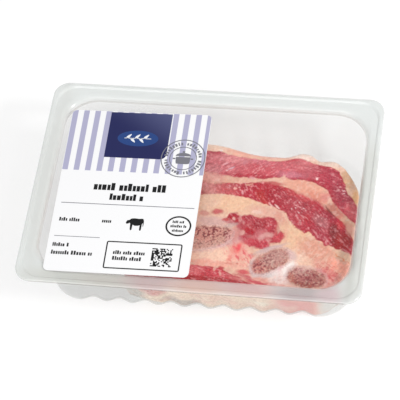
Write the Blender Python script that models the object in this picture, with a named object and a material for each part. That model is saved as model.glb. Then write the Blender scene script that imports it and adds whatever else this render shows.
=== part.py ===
"""Meat tray pack: a frosted plastic tray with fluted walls and a wide sealing rim, a clear lid film
sealed on the rim, a paper label on the film, and one slab of beef soup meat with three sawn rib bones.

Units are metres and +Z is up. +X runs along the tray's long side, +Y points away from the side that
the slab lies against, and the origin is on the table, under the middle of the tray.
"""

import math
from dataclasses import dataclass

import bmesh
import bpy
import numpy as np

MM = 0.001
GAP = 0.3 * MM  # clear space between pieces that touch

# Tray, outside sizes
TRAY_LENGTH = 260 * MM
TRAY_WIDTH = 180 * MM
TRAY_HEIGHT = 60 * MM
WALL = 0.7 * MM

# Sealing rim: a raised lip, a flat band that the film is sealed on, and a shoulder down to the mouth
RIM_RADIUS = 12 * MM
SKIRT_DROP = 2.4 * MM
LIP_WIDTH = 3.0 * MM
LIP_ROUND = 0.6 * MM
BAND_START = 4.0 * MM
BAND_END = 9.2 * MM
BAND_DROP = 1.4 * MM
SHOULDER = 10.8 * MM
SHOULDER_DROP = 2.2 * MM
MOUTH_INSET = 12.3 * MM
MOUTH_DROP = 5.2 * MM
MOUTH_RADIUS = 25 * MM

# Walls: they lean in towards the foot, and flutes grow on them from nothing under the mouth
WALL_TOP_DROP = 7.0 * MM
FOOT_INSET_SHORT = 14.0 * MM
FOOT_INSET_LONG = 18.5 * MM
FOOT_RADIUS = 27 * MM
FOOT_FILLET = 3.0 * MM
FLUTE_PITCH = 20.2 * MM
FLUTE_DEPTH = 3.1 * MM
FLUTES_LONG = 10
FLUTES_SHORT = 5
FLUTE_STEPS = 6  # points in each flute
CORNER_STEPS = 7  # segments in each corner arc

# Lid film
FILM_THICKNESS = 0.2 * MM
FILM_INSET = BAND_START + GAP

# Label: it lies a little turned on the left half of the film
LABEL_WIDTH = 110 * MM
LABEL_LENGTH = 145 * MM
LABEL_CENTRE = (-55.2 * MM, -6.9 * MM)
LABEL_TURN = math.radians(1.2)
LABEL_THICKNESS = 0.2 * MM
LABEL_RADIUS = 4 * MM

# Meat slab: plan points are in millimetres from the middle of the tray
SLAB_TOP_DROP = 15 * MM
SLAB_EDGE_ROUND = 3.5 * MM
SLAB_LEAN = 7.5 * MM  # the slab leans on the near wall: its foot lies this far further from that wall
SLAB_CLEARANCE = 0.5 * MM
SLAB_CELLS = (37, 28)
SLAB_MIDDLE = (30 * MM, -15 * MM)
# Rows down the slab's sides: share of the height left, and how far the side swells out there
SLAB_SIDE = [(0.66, 0.6 * MM), (0.33, 0.6 * MM), (0.07, -0.2 * MM), (0.0, -2.6 * MM)]
SEAM_SMOOTHING = 4  # points drawn for each point of a seam

# Relief of the cut face: soft waves, lean meat that swells between its seams, and a few grooves
# Each wave: height, and its wave numbers and phases along X and along Y
WAVES = [
    (1.1 * MM, 1 / (17 * MM), 0.6, 1 / (14 * MM), 1.2),
    (0.5 * MM, 1 / (7.5 * MM), 0.0, 1 / (8 * MM), 1.3),
]
LEAN_RISE = 1.2 * MM
LEAN_REACH = 6 * MM  # the swelling grows over this distance from a seam
BONE_RISE = 0.5 * MM
# Each groove: its middle, half length and half width in millimetres, turn in degrees, and depth
GROOVES = [
    ((97.5, -2), 12, 3.5, -47, 2.2 * MM),
    ((110.5, -44.5), 9, 3, -36, 1.8 * MM),
    ((34, 1), 14, 3, -20, 1.0 * MM),
]

FAR_EDGE = [(-48, 47), (-25, 49.5), (-3, 49), (10, 47.5), (22, 44.5), (36, 41.5), (50, 41), (60, 42.5),
            (69, 46.5), (77, 45), (84, 40.5), (95, 40), (104, 35)]
RIGHT_EDGE = [(107.5, -66), (113.5, -54), (115.4, -35), (115.4, -8), (114.8, 13), (111, 24), (104, 35)]
NEAR_EDGE = [(-50, -71), (-20, -74.2), (25, -74.5), (70, -74.5), (92, -74), (107.5, -66)]
LEFT_EDGE = [(-50, -71), (-54, -46), (-52, -12), (-54, 20), (-48, 47)]

SEAM_RIM = [(-64, 42), (-30, 43.5), (-4, 44), (9, 43), (27, 40), (45, 38), (59, 38.5), (69, 41.5),
            (80, 37.5), (90, 35.5), (99, 33), (104, 24), (109, 13), (116, 3), (126, -9)]
SEAM_OUTER = [(-64, 25), (-30, 25), (0, 24), (16, 22), (30, 21), (48, 22), (58, 24), (68, 22),
              (80, 21), (89, 17), (94, 13), (98, 5), (107, -5), (117, -13), (126, -19)]
SEAM_MIDDLE = [(-64, 18), (-30, 17), (-3, 16), (10, 15), (28, 16), (42, 17), (55, 17), (65, 13),
               (77, 9), (88, 4), (97, -4), (107, -13), (117, -26), (126, -33)]
SEAM_INNER = [(-64, 2), (-30, 3), (-2, 4), (15, 4.5), (31, 4), (41, 0), (53, -3), (64, -10),
              (73, -20), (86, -26.5), (98, -34), (110, -38), (126, -43)]
SEAM_LOWER = [(-64, -50), (-30, -55), (-1, -58), (12, -59), (22, -60), (30, -65), (41, -69.5),
              (52, -74), (62, -80), (70, -90)]
EYE_OUTLINE = [(19, -16), (25, -11.5), (33, -14), (43, -13.5), (54, -12), (61, -17.5), (64.5, -27),
               (58, -35), (49, -39.5), (39, -36.5), (34, -31), (31, -24), (25, -18.5)]

# Rib bones: middle, half length and half width in millimetres, and turn in degrees
BONES = {
    "bone_left": ((3.5, -34), 25, 12, 12),
    "bone_middle": ((57.5, -51), 17.5, 10.5, 33),
    "bone_right": ((86, -63), 15.5, 9.3, -9),
}
BONE_STEPS = 30
BONE_SQUARENESS = 0.85  # below 1 an ellipse has flatter sides and fuller corners

# How far the cutting prisms reach past the slab, in plan and in height
FAR_BEYOND = 70
NEAR_BEYOND = -100
CUT_LEFT, CUT_RIGHT = -64, 126
CUT_HEIGHT_SPARE = 5 * MM
FAR_LIMIT = [(CUT_LEFT, FAR_BEYOND), (CUT_RIGHT, FAR_BEYOND)]
NEAR_LIMIT = [(CUT_LEFT, NEAR_BEYOND), (CUT_RIGHT, NEAR_BEYOND)]
LOWER_SEAM_WHOLE = SEAM_LOWER + [(CUT_RIGHT, NEAR_BEYOND + 10)]

COLOURS = {
    "frosted_polypropylene": ("E3E9E6", 0.35),
    "clear_film": ("F4F7F6", 0.08),
    "label_paper": ("F7F7F8", 0.45),
    "beef_fat": ("F0C6A6", 0.4),
    "beef_lean": ("B23A45", 0.35),
    "rib_bone": ("A78A86", 0.55),
}


def linear(value):
    """Turns one sRGB channel into linear light."""
    return value / 12.92 if value <= 0.04045 else ((value + 0.055) / 1.055) ** 2.4


def make_material(name):
    """Makes the Principled material of that name from COLOURS."""
    text, roughness = COLOURS[name]
    channels = [linear(int(text[i:i + 2], 16) / 255) for i in (0, 2, 4)]
    material = bpy.data.materials.new(name)
    material.use_nodes = True
    shader = material.node_tree.nodes["Principled BSDF"]
    shader.inputs["Base Color"].default_value = (*channels, 1.0)
    shader.inputs["Roughness"].default_value = roughness
    shader.inputs["Metallic"].default_value = 0.0
    material.diffuse_color = (*channels, 1.0)
    return material


def clear_scene():
    """Removes every object that the scene starts with."""
    for item in list(bpy.data.objects):
        bpy.data.objects.remove(item, do_unlink=True)


def add_object(name, mesh, material, parent, location=(0, 0, 0), turn=0.0, sharp=40):
    """Puts a mesh in the scene as one named piece, shaded smooth except along its sharp edges."""
    mesh.shade_smooth()
    mesh.set_sharp_from_angle(angle=math.radians(sharp))
    mesh.materials.clear()
    mesh.materials.append(material)
    piece = bpy.data.objects.new(name, mesh)
    piece.location = location
    piece.rotation_euler = (0, 0, turn)
    piece.parent = parent
    bpy.context.collection.objects.link(piece)
    return piece


def mesh_from(name, vertices, faces):
    """Makes a mesh whose faces all point outwards."""
    mesh = bpy.data.meshes.new(name)
    mesh.from_pydata([tuple(v) for v in vertices], [], [tuple(f) for f in faces])
    shell = bmesh.new()
    shell.from_mesh(mesh)
    bmesh.ops.recalc_face_normals(shell, faces=shell.faces)
    shell.to_mesh(mesh)
    shell.free()
    return mesh


# Tray


@dataclass
class Ring:
    """One level line round the tray: how far in and down it lies, its corners, and its flutes."""

    inset_x: float
    inset_y: float
    drop: float
    radius: float
    flute: float = 0.0
    fluted: bool = False

    def half_x(self):
        return TRAY_LENGTH / 2 - self.inset_x

    def half_y(self):
        return TRAY_WIDTH / 2 - self.inset_y


def flute_run(count):
    """Places along a wall, from the first flute's crest to the last one's, and how deep each is cut."""
    last = (count - 1) / 2 * FLUTE_PITCH
    along = np.linspace(-last, last, (count - 1) * FLUTE_STEPS + 1)
    cut = (1 - np.cos(2 * math.pi * (along + last) / FLUTE_PITCH)) / 2
    return along, cut


def ring_sides(ring):
    """The ring as four sides and four corner arcs, counter-clockwise from the near side.

    A side is a list of points from corner to corner. An arc holds only the points between two sides. On a
    fluted ring the corners start at the last crests of the long sides.
    """
    half_x, half_y = ring.half_x(), ring.half_y()
    last_crest = (FLUTES_LONG - 1) / 2 * FLUTE_PITCH
    radius_x = half_x - last_crest if ring.fluted else ring.radius
    radius_y = ring.radius
    z = TRAY_HEIGHT - ring.drop
    sides, arcs = [], []
    for quarter, (side_x, side_y) in enumerate(((1, -1), (1, 1), (-1, 1), (-1, -1))):
        on_long_side = quarter % 2 == 0
        run = half_x - radius_x if on_long_side else half_y - radius_y
        depth = half_y if on_long_side else half_x
        along, inward = np.array([-run, run]), np.zeros(2)
        if ring.fluted:
            along, cut = flute_run(FLUTES_LONG if on_long_side else FLUTES_SHORT)
            inward = cut * ring.flute
        if ring.fluted and not on_long_side:
            along = np.concatenate(([-run], along, [run]))
            inward = np.concatenate(([0.0], inward, [0.0]))
        sides.append([turned(place, step - depth, quarter, z) for place, step in zip(along, inward)])
        angles = (quarter - 1) * math.pi / 2 + np.linspace(0, math.pi / 2, CORNER_STEPS + 1)[1:-1]
        middle_x, middle_y = side_x * (half_x - radius_x), side_y * (half_y - radius_y)
        arcs.append([
            (middle_x + radius_x * math.cos(t), middle_y + radius_y * math.sin(t), z) for t in angles
        ])
    return sides, arcs


def turned(along, out, quarter, z):
    """A point of the near side, turned by quarters of a circle on to another side."""
    return [(along, out, z), (-out, along, z), (-along, -out, z), (out, -along, z)][quarter]


def scaled_ring(base, grow, drop, **changes):
    """A plain ring of the rim: its corners get rounder on the way from the edge to the mouth."""
    radius = RIM_RADIUS + (MOUTH_RADIUS - RIM_RADIUS) * min(base / MOUTH_INSET, 1.0)
    return Ring(base + grow, base + grow, drop, radius - grow, **changes)


def wall_ring(drop, grow):
    """A fluted ring of the wall at a drop between the wall's top and the start of the foot's fillet."""
    foot_drop = TRAY_HEIGHT - FOOT_FILLET
    share = (drop - MOUTH_DROP) / (foot_drop - MOUTH_DROP)
    inset_x = MOUTH_INSET + (FOOT_INSET_SHORT - MOUTH_INSET) * share
    inset_y = MOUTH_INSET + (FOOT_INSET_LONG - MOUTH_INSET) * share
    radius = MOUTH_RADIUS + (FOOT_RADIUS - MOUTH_RADIUS) * share
    return Ring(inset_x + grow, inset_y + grow, drop, radius - grow, FLUTE_DEPTH * share, True)


def foot_ring(angle, grow):
    """A fluted ring of the foot's fillet, at an angle from the wall's side, 0, to the floor, 90 degrees."""
    base = wall_ring(TRAY_HEIGHT - FOOT_FILLET, 0.0)
    reach = FOOT_FILLET - grow
    step_in = FOOT_FILLET - reach * math.cos(angle)
    drop = TRAY_HEIGHT - FOOT_FILLET + reach * math.sin(angle)
    return Ring(base.inset_x + step_in, base.inset_y + step_in, drop, base.radius - step_in, base.flute, True)


def tray_rings():
    """The tray's section as rings: from the inside floor out over the rim and down to the underside."""
    foot_drop = TRAY_HEIGHT - FOOT_FILLET
    inside = [
        foot_ring(math.radians(90), WALL),
        foot_ring(math.radians(45), WALL),
        wall_ring(foot_drop, WALL),
        wall_ring(WALL_TOP_DROP, WALL),
        scaled_ring(MOUTH_INSET, WALL, MOUTH_DROP),
        scaled_ring(SHOULDER, WALL, SHOULDER_DROP),
        scaled_ring(BAND_END, 0.0, BAND_DROP),
        scaled_ring(BAND_START, 0.0, BAND_DROP),
        scaled_ring(LIP_WIDTH, 0.0, 0.0),
        scaled_ring(LIP_ROUND, 0.0, 0.0),
        scaled_ring(0.0, 0.0, LIP_ROUND),
    ]
    outside = [
        scaled_ring(0.0, 0.0, SKIRT_DROP),
        scaled_ring(WALL, 0.0, SKIRT_DROP),
        scaled_ring(WALL + LIP_ROUND / 2, 0.0, WALL),
        scaled_ring(LIP_WIDTH, 0.0, WALL),
        scaled_ring(BAND_START, 0.0, BAND_DROP + WALL),
        scaled_ring(BAND_END, 0.0, BAND_DROP + WALL),
        scaled_ring(SHOULDER, 0.0, SHOULDER_DROP + WALL),
        scaled_ring(MOUTH_INSET, 0.0, MOUTH_DROP + WALL),
        wall_ring(WALL_TOP_DROP + WALL, 0.0),
        wall_ring(foot_drop, 0.0),
        foot_ring(math.radians(45), 0.0),
        foot_ring(math.radians(90), 0.0),
    ]
    return inside + outside


def stitch(faces, lower, upper):
    """Joins two rows of corner numbers along one side with triangles, whatever their lengths."""
    i = j = 0
    while i < len(lower) - 1 or j < len(upper) - 1:
        next_low = (i + 0.5) / max(len(lower) - 1, 1) if i < len(lower) - 1 else 2.0
        next_up = (j + 0.5) / max(len(upper) - 1, 1) if j < len(upper) - 1 else 2.0
        if next_low <= next_up:
            faces.append((lower[i], lower[i + 1], upper[j]))
            i += 1
        else:
            faces.append((lower[i], upper[j + 1], upper[j]))
            j += 1


def shell_from_rings(name, rings):
    """A closed shell through the rings, with a flat face on the first and on the last."""
    vertices, faces, numbered = [], [], []
    for ring in rings:
        sides, arcs = ring_sides(ring)
        rows = []
        for side, arc in zip(sides, arcs):
            rows.append([len(vertices) + k for k in range(len(side))])
            vertices.extend(side)
            rows.append([len(vertices) + k for k in range(len(arc))])
            vertices.extend(arc)
        numbered.append(rows)
    for low, up in zip(numbered, numbered[1:]):
        for k in range(0, 8, 2):
            stitch(faces, low[k], up[k])
            after = (k + 2) % 8
            low_arc = [low[k][-1], *low[k + 1], low[after][0]]
            up_arc = [up[k][-1], *up[k + 1], up[after][0]]
            for a in range(len(low_arc) - 1):
                faces.append((low_arc[a], low_arc[a + 1], up_arc[a + 1], up_arc[a]))
    for rows in (numbered[0], numbered[-1]):
        faces.append([number for row in rows for number in row])
    return mesh_from(name, vertices, faces)


def make_plate(name, half_x, half_y, radius, thickness):
    """A flat plate with round corners, its underside at z = 0 and its middle at the origin."""
    outline = []
    for quarter, (sx, sy) in enumerate(((1, -1), (1, 1), (-1, 1), (-1, -1))):
        for t in np.linspace(0, math.pi / 2, CORNER_STEPS + 1):
            angle = (quarter - 1) * math.pi / 2 + t
            outline.append((sx * (half_x - radius) + radius * math.cos(angle),
                            sy * (half_y - radius) + radius * math.sin(angle)))
    count = len(outline)
    vertices = [(x, y, z) for z in (0.0, thickness) for x, y in outline]
    faces = [list(range(count)), list(range(count, 2 * count))]
    faces += [(k, (k + 1) % count, count + (k + 1) % count, count + k) for k in range(count)]
    return mesh_from(name, vertices, faces)


# Meat


def smooth_curve(points, closed=False):
    """A Catmull-Rom curve through points given in millimetres, as an array in metres."""
    given = np.array(points, float) * MM
    count = len(given)
    if closed:
        picked = given[np.arange(-1, count + 2) % count]
    else:
        picked = np.vstack([2 * given[0] - given[1], given, 2 * given[-1] - given[-2]])
    t = np.arange(SEAM_SMOOTHING)[:, None] / SEAM_SMOOTHING
    spans = []
    for a, b, c, d in zip(picked, picked[1:], picked[2:], picked[3:]):
        spans.append(0.5 * (2 * b + (c - a) * t + (2 * a - 5 * b + 4 * c - d) * t**2
                            + (3 * b - a - 3 * c + d) * t**3))
    curve = np.vstack(spans)
    return curve if closed else np.vstack([curve, given[-1]])


def along_curve(points, count):
    """Points spread evenly along a smooth curve."""
    curve = smooth_curve(points)
    length = np.concatenate(([0.0], np.cumsum(np.linalg.norm(np.diff(curve, axis=0), axis=1))))
    places = np.linspace(0.0, length[-1], count)
    return np.column_stack([np.interp(places, length, curve[:, axis]) for axis in (0, 1)])


def distance_to(line, x, y):
    """Distance from plan points to the nearest stretch of a line."""
    start, step = line[:-1], np.diff(line, axis=0)
    away = np.stack([x, y], axis=-1)[..., None, :] - start
    share = np.clip((away * step).sum(-1) / (step**2).sum(-1), 0, 1)
    return np.linalg.norm(away - share[..., None] * step, axis=-1).min(axis=-1)


def inside(outline, x, y):
    """Which plan points an outline holds: a ray from them towards +X crosses it an odd number of times."""
    ax, ay = outline.T
    bx, by = np.roll(outline, -1, axis=0).T
    px, py = x[..., None], y[..., None]
    spans = (ay > py) != (by > py)
    with np.errstate(divide="ignore", invalid="ignore"):
        crossing = ax + (py - ay) / (by - ay) * (bx - ax)
    return (spans & (px < crossing)).sum(axis=-1) % 2 == 1


def lean_outlines():
    """Outlines of the lean meat on the cut face."""
    pairs = [(SEAM_RIM, SEAM_OUTER), (SEAM_MIDDLE, SEAM_INNER), (LOWER_SEAM_WHOLE, NEAR_LIMIT)]
    outlines = [np.vstack([smooth_curve(lower), smooth_curve(upper)[::-1]]) for upper, lower in pairs]
    return outlines + [smooth_curve(EYE_OUTLINE, closed=True)]


def relief(x, y):
    """Height of the cut face over its mean level.

    Waves run over the whole face. Lean meat rises from its outline by 1 - exp(-(distance / reach) squared),
    and a groove sinks by exp(-2 r squared), where r is 1 on its ellipse.
    """
    height = np.zeros_like(x)
    for size, number_x, phase_x, number_y, phase_y in WAVES:
        height += size * np.sin(number_x * x + phase_x) * np.sin(number_y * y + phase_y)
    for outline in lean_outlines():
        near = distance_to(np.vstack([outline, outline[:1]]), x, y)
        height += inside(outline, x, y) * LEAN_RISE * (1 - np.exp(-((near / LEAN_REACH) ** 2)))
    for (cx, cy), half_long, half_wide, degrees, depth in GROOVES:
        turn = math.radians(degrees)
        dx, dy = x - cx * MM, y - cy * MM
        along = (dx * math.cos(turn) + dy * math.sin(turn)) / (half_long * MM)
        across = (dy * math.cos(turn) - dx * math.sin(turn)) / (half_wide * MM)
        height -= depth * np.exp(-2 * (along**2 + across**2))
    return height


def lean_at(z):
    """How far the slab's section has moved from the near wall at a height."""
    top = TRAY_HEIGHT - SLAB_TOP_DROP
    return SLAB_LEAN * (top - z) / (top - WALL)


def inner_step(z):
    """How far the tray's inner face lies in from its outer wall at a height, over the foot's fillet too."""
    half_way = (FOOT_FILLET - WALL) * math.sin(math.radians(45))
    heights = [WALL, FOOT_FILLET - half_way, FOOT_FILLET]
    return float(np.interp(z, heights, [FOOT_FILLET, FOOT_FILLET - half_way, WALL]))


def held_by_wall(x, y, z):
    """Keeps a plan point of the slab, before it leans, inside the tray's wall at a height."""
    drop = float(np.clip(TRAY_HEIGHT - z, WALL_TOP_DROP, TRAY_HEIGHT - FOOT_FILLET))
    ring = wall_ring(drop, inner_step(z) + SLAB_CLEARANCE)
    lean = lean_at(z)
    limit_x = ring.half_x() - ring.flute
    limit_y = ring.half_y() - ring.flute
    x = np.minimum(x, limit_x)
    y = np.maximum(y + lean, -limit_y)
    corner_x, corner_y = limit_x - ring.radius, -(limit_y - ring.radius)
    away_x, away_y = x - corner_x, y - corner_y
    distance = np.hypot(away_x, away_y)
    pull = np.where((away_x > 0) & (away_y < 0) & (distance > ring.radius), ring.radius / distance, 1.0)
    return corner_x + away_x * pull, corner_y + away_y * pull - lean


def slab_mesh(rise=0.0):
    """The whole slab, upright and uncut, with its cut face raised by a given amount.

    The face is a Coons patch: each edge curve is blended across to its opposite, and the four corners
    are taken off once, because both pairs of edges hold them.
    """
    nu, nv = SLAB_CELLS
    near, far = along_curve(NEAR_EDGE, nu + 1), along_curve(FAR_EDGE, nu + 1)
    left, right = along_curve(LEFT_EDGE, nv + 1), along_curve(RIGHT_EDGE, nv + 1)
    u = np.linspace(0, 1, nu + 1)[:, None, None]
    v = np.linspace(0, 1, nv + 1)[None, :, None]
    plan = ((1 - v) * near[:, None] + v * far[:, None] + (1 - u) * left[None] + u * right[None]
            - (1 - u) * (1 - v) * near[0] - u * (1 - v) * near[-1] - (1 - u) * v * far[0] - u * v * far[-1])
    top, floor = TRAY_HEIGHT - SLAB_TOP_DROP, WALL + GAP
    x, y = held_by_wall(plan[..., 0], plan[..., 1], top)
    z = top + relief(x, y) + rise
    border_cells = np.ones((nu + 1, nv + 1), bool)
    border_cells[1:-1, 1:-1] = False
    z[border_cells] -= SLAB_EDGE_ROUND
    vertices = np.column_stack([x.ravel(), y.ravel(), z.ravel()]).tolist()
    number = np.arange((nu + 1) * (nv + 1)).reshape(nu + 1, nv + 1)
    corners = [number[:-1, :-1], number[1:, :-1], number[1:, 1:], number[:-1, 1:]]
    faces = np.stack(corners, axis=-1).reshape(-1, 4).tolist()
    row = np.concatenate([number[:-1, 0], number[-1, :-1], number[:0:-1, -1], number[0, :0:-1]])
    out = np.column_stack([x.ravel()[row], y.ravel()[row]]) - SLAB_MIDDLE
    out_length = np.linalg.norm(out, axis=1, keepdims=True)
    for share, swell in SLAB_SIDE:
        level = floor + (top - floor) * share
        grown = SLAB_MIDDLE + out * (1 + swell / out_length)
        gx, gy = held_by_wall(grown[:, 0], grown[:, 1], level)
        below = np.arange(len(row)) + len(vertices)
        vertices.extend(np.column_stack([gx, gy, np.full(len(row), level)]).tolist())
        faces += np.column_stack([row, np.roll(row, -1), np.roll(below, -1), below]).tolist()
        row = below
    faces.append(row.tolist())
    return mesh_from("slab", vertices, faces)


def offset_line(line, distance, closed=False):
    """Moves a plan line to its left by a distance."""
    if closed:
        step = np.roll(line, -1, axis=0) - np.roll(line, 1, axis=0)
    else:
        step = np.gradient(line, axis=0)
    step /= np.linalg.norm(step, axis=1, keepdims=True)
    return line + distance * np.column_stack([-step[:, 1], step[:, 0]])


def prism(outline):
    """An upright prism over a plan outline, from under the slab to over it."""
    count = len(outline)
    vertices = [(x, y, z) for z in (-CUT_HEIGHT_SPARE, TRAY_HEIGHT + CUT_HEIGHT_SPARE) for x, y in outline]
    faces = [list(range(count)), list(range(count, 2 * count))]
    faces += [(k, (k + 1) % count, count + (k + 1) % count, count + k) for k in range(count)]
    return mesh_from("prism", vertices, faces)


def band_prism(upper, lower):
    """The prism between two seams, both given from left to right, with half a gap left at each."""
    top_line = offset_line(smooth_curve(upper), -GAP / 2)
    low_line = offset_line(smooth_curve(lower), GAP / 2)
    return prism(np.vstack([low_line, top_line[::-1]]))


def eye_outline(grow):
    """Outline of the eye of lean meat in the fat, grown by a distance."""
    return offset_line(smooth_curve(EYE_OUTLINE, closed=True), grow, closed=True)


def bone_outline(name, grow):
    """Outline of a rib bone's section: an ellipse with flatter sides, grown by a distance."""
    (cx, cy), half_long, half_wide, degrees = BONES[name]
    turn = math.radians(degrees)
    t = np.linspace(0, 2 * math.pi, BONE_STEPS, endpoint=False)
    along = (half_long * MM + grow) * np.sign(np.cos(t)) * np.abs(np.cos(t)) ** BONE_SQUARENESS
    across = (half_wide * MM + grow) * np.sign(np.sin(t)) * np.abs(np.sin(t)) ** BONE_SQUARENESS
    return np.column_stack([cx * MM + along * math.cos(turn) - across * math.sin(turn),
                            cy * MM + along * math.sin(turn) + across * math.cos(turn)])


def boolean(mesh, cutter, operation):
    """Cuts or keeps what two closed meshes share, with the exact solver, and returns the new mesh."""
    body = bpy.data.objects.new("body", mesh)
    tool = bpy.data.objects.new("tool", cutter)
    bpy.context.collection.objects.link(body)
    bpy.context.collection.objects.link(tool)
    cut = body.modifiers.new("cut", "BOOLEAN")
    cut.operation = operation
    cut.solver = "EXACT"
    cut.object = tool
    graph = bpy.context.evaluated_depsgraph_get()
    result = bpy.data.meshes.new_from_object(body.evaluated_get(graph))
    bpy.data.objects.remove(body, do_unlink=True)
    bpy.data.objects.remove(tool, do_unlink=True)
    return result


def leaned(mesh):
    """Leans a mesh that was made upright, together with the rest of the slab."""
    count = len(mesh.vertices)
    places = np.empty(count * 3)
    mesh.vertices.foreach_get("co", places)
    places = places.reshape(count, 3)
    places[:, 1] += lean_at(places[:, 2])
    mesh.vertices.foreach_set("co", places.ravel())
    mesh.update()
    return mesh


def make_meat(parent, fat, lean, bone):
    """Cuts the slab along its seams into fat, lean meat and bones, each one solid."""
    bands = {
        "meat_fat_rim": (FAR_LIMIT, SEAM_RIM, fat),
        "meat_lean_outer": (SEAM_RIM, SEAM_OUTER, lean),
        "meat_fat_seam": (SEAM_OUTER, SEAM_MIDDLE, fat),
        "meat_lean_middle": (SEAM_MIDDLE, SEAM_INNER, lean),
        "meat_fat_body": (SEAM_INNER, LOWER_SEAM_WHOLE, fat),
        "meat_lean_lower": (LOWER_SEAM_WHOLE, NEAR_LIMIT, lean),
    }
    for name, (upper, lower, material) in bands.items():
        mesh = boolean(slab_mesh(), band_prism(upper, lower), "INTERSECT")
        if name == "meat_fat_body":
            for outline in [eye_outline(GAP), *(bone_outline(bone_name, GAP) for bone_name in BONES)]:
                mesh = boolean(mesh, prism(outline), "DIFFERENCE")
        add_object(name, leaned(mesh), material, parent)
    mesh = boolean(slab_mesh(), prism(eye_outline(0.0)), "INTERSECT")
    add_object("meat_lean_eye", leaned(mesh), lean, parent)
    for name in BONES:
        mesh = boolean(slab_mesh(BONE_RISE), prism(bone_outline(name, 0.0)), "INTERSECT")
        add_object(name, leaned(mesh), bone, parent)


def main():
    clear_scene()
    materials = {name: make_material(name) for name in COLOURS}
    pack = bpy.data.objects.new("meat_tray_pack", None)
    bpy.context.collection.objects.link(pack)
    add_object("tray", shell_from_rings("tray", tray_rings()), materials["frosted_polypropylene"], pack)
    film_level = TRAY_HEIGHT - BAND_DROP + GAP
    film_radius = RIM_RADIUS + (MOUTH_RADIUS - RIM_RADIUS) * FILM_INSET / MOUTH_INSET
    film = make_plate("film", TRAY_LENGTH / 2 - FILM_INSET, TRAY_WIDTH / 2 - FILM_INSET, film_radius,
                      FILM_THICKNESS)
    add_object("film", film, materials["clear_film"], pack, (0, 0, film_level))
    label = make_plate("label", LABEL_WIDTH / 2, LABEL_LENGTH / 2, LABEL_RADIUS, LABEL_THICKNESS)
    label_level = film_level + FILM_THICKNESS + GAP
    add_object("label", label, materials["label_paper"], pack, (*LABEL_CENTRE, label_level), LABEL_TURN)
    make_meat(pack, materials["beef_fat"], materials["beef_lean"], materials["rib_bone"])


main()
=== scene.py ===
"""Looks of a meat tray pack: a frosted polypropylene tray with fluted walls, its clear lid film, a printed
paper label, and a slab of beef soup meat with three sawn rib bones.

Sizes are in millimetres until a mesh is made. +X runs along the tray's long side, +Y points away from the
side that the slab lies against, and z = 0 is the table.
"""

import logging
import math
from dataclasses import dataclass, field
from enum import Enum

import bpy
import numpy as np
from mathutils import Matrix


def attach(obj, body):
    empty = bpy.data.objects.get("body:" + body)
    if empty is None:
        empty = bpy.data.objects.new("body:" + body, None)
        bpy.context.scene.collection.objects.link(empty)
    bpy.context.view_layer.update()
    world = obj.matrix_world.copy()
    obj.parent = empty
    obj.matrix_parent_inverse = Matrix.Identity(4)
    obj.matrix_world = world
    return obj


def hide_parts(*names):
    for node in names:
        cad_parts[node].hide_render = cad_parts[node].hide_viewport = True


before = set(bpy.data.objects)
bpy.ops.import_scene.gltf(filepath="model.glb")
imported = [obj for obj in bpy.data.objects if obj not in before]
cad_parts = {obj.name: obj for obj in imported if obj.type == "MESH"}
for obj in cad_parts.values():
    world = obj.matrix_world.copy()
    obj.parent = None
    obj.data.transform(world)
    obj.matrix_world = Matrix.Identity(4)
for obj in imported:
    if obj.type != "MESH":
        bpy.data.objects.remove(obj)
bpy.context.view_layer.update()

Array = np.ndarray
Point = tuple[float, float]
log = logging.getLogger("meat_tray_pack")

MM = 0.001
BODY = "root"
PAINT = "paint"
# Corners of a box, counter-clockwise from the near right one
CORNERS = ((1, -1), (1, 1), (-1, 1), (-1, -1))
# Noise: cells before it repeats, how each finer octave fades, its step of seed, and the scale that brings the
# sum back to about -1 to 1
NOISE_CELLS = 96
OCTAVE_FADE = 0.55
OCTAVE_SEED = 17
NOISE_SPREAD = 1.6


# Numbers and curves


def linear(code: str) -> tuple[float, float, float]:
    """Turns an sRGB hex colour of six digits into linear red, green and blue from 0 to 1."""
    channels = [int(code[i:i + 2], 16) / 255 for i in (0, 2, 4)]
    return tuple(c / 12.92 if c <= 0.04045 else ((c + 0.055) / 1.055) ** 2.4 for c in channels)


def smooth_step(low: float, high: float, value: Array) -> Array:
    """Rises from 0 at low to 1 at high as 3t² - 2t³, and falls where low is above high."""
    t = np.clip((value - low) / (high - low), 0.0, 1.0)
    return t * t * (3 - 2 * t)


def lattice_noise(x: Array, y: Array, size: float, seed: int) -> Array:
    """Smooth noise: random values on a square lattice, mixed by smoothstep weights in each cell.

    Args:
        x, y: Plan coordinates.
        size: Width of a lattice cell.
        seed: Picks the random values.

    Returns:
        Numbers from -1 to 1.
    """
    count = NOISE_CELLS
    table = np.random.default_rng(seed).uniform(-1, 1, (count, count))
    column, row = np.floor(x / size).astype(int), np.floor(y / size).astype(int)
    fx, fy = x / size - column, y / size - row
    fx, fy = fx * fx * (3 - 2 * fx), fy * fy * (3 - 2 * fy)
    c0, c1, r0, r1 = column % count, (column + 1) % count, row % count, (row + 1) % count
    low = table[c0, r0] * (1 - fx) + table[c1, r0] * fx
    high = table[c0, r1] * (1 - fx) + table[c1, r1] * fx
    return low * (1 - fy) + high * fy


def fractal(x: Array, y: Array, size: float, seed: int, octaves: int = 3) -> Array:
    """Noise of several sizes: each octave is half as wide as the one before, and weaker.

    Args:
        x, y: Plan coordinates.
        size: Cell width of the widest octave.
        seed: Picks the random values.
        octaves: How many sizes are added.

    Returns:
        Numbers from about -1 to 1.
    """
    strengths = OCTAVE_FADE ** np.arange(octaves)
    layers = [s * lattice_noise(x, y, size / 2**k, seed + OCTAVE_SEED * k) for k, s in enumerate(strengths)]
    return sum(layers) / strengths.sum() * NOISE_SPREAD


def turned(x: Array, y: Array, degrees: float) -> tuple[Array, Array]:
    """Turns plan coordinates counter-clockwise about the origin."""
    cos, sin = math.cos(math.radians(degrees)), math.sin(math.radians(degrees))
    return x * cos - y * sin, x * sin + y * cos


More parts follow.
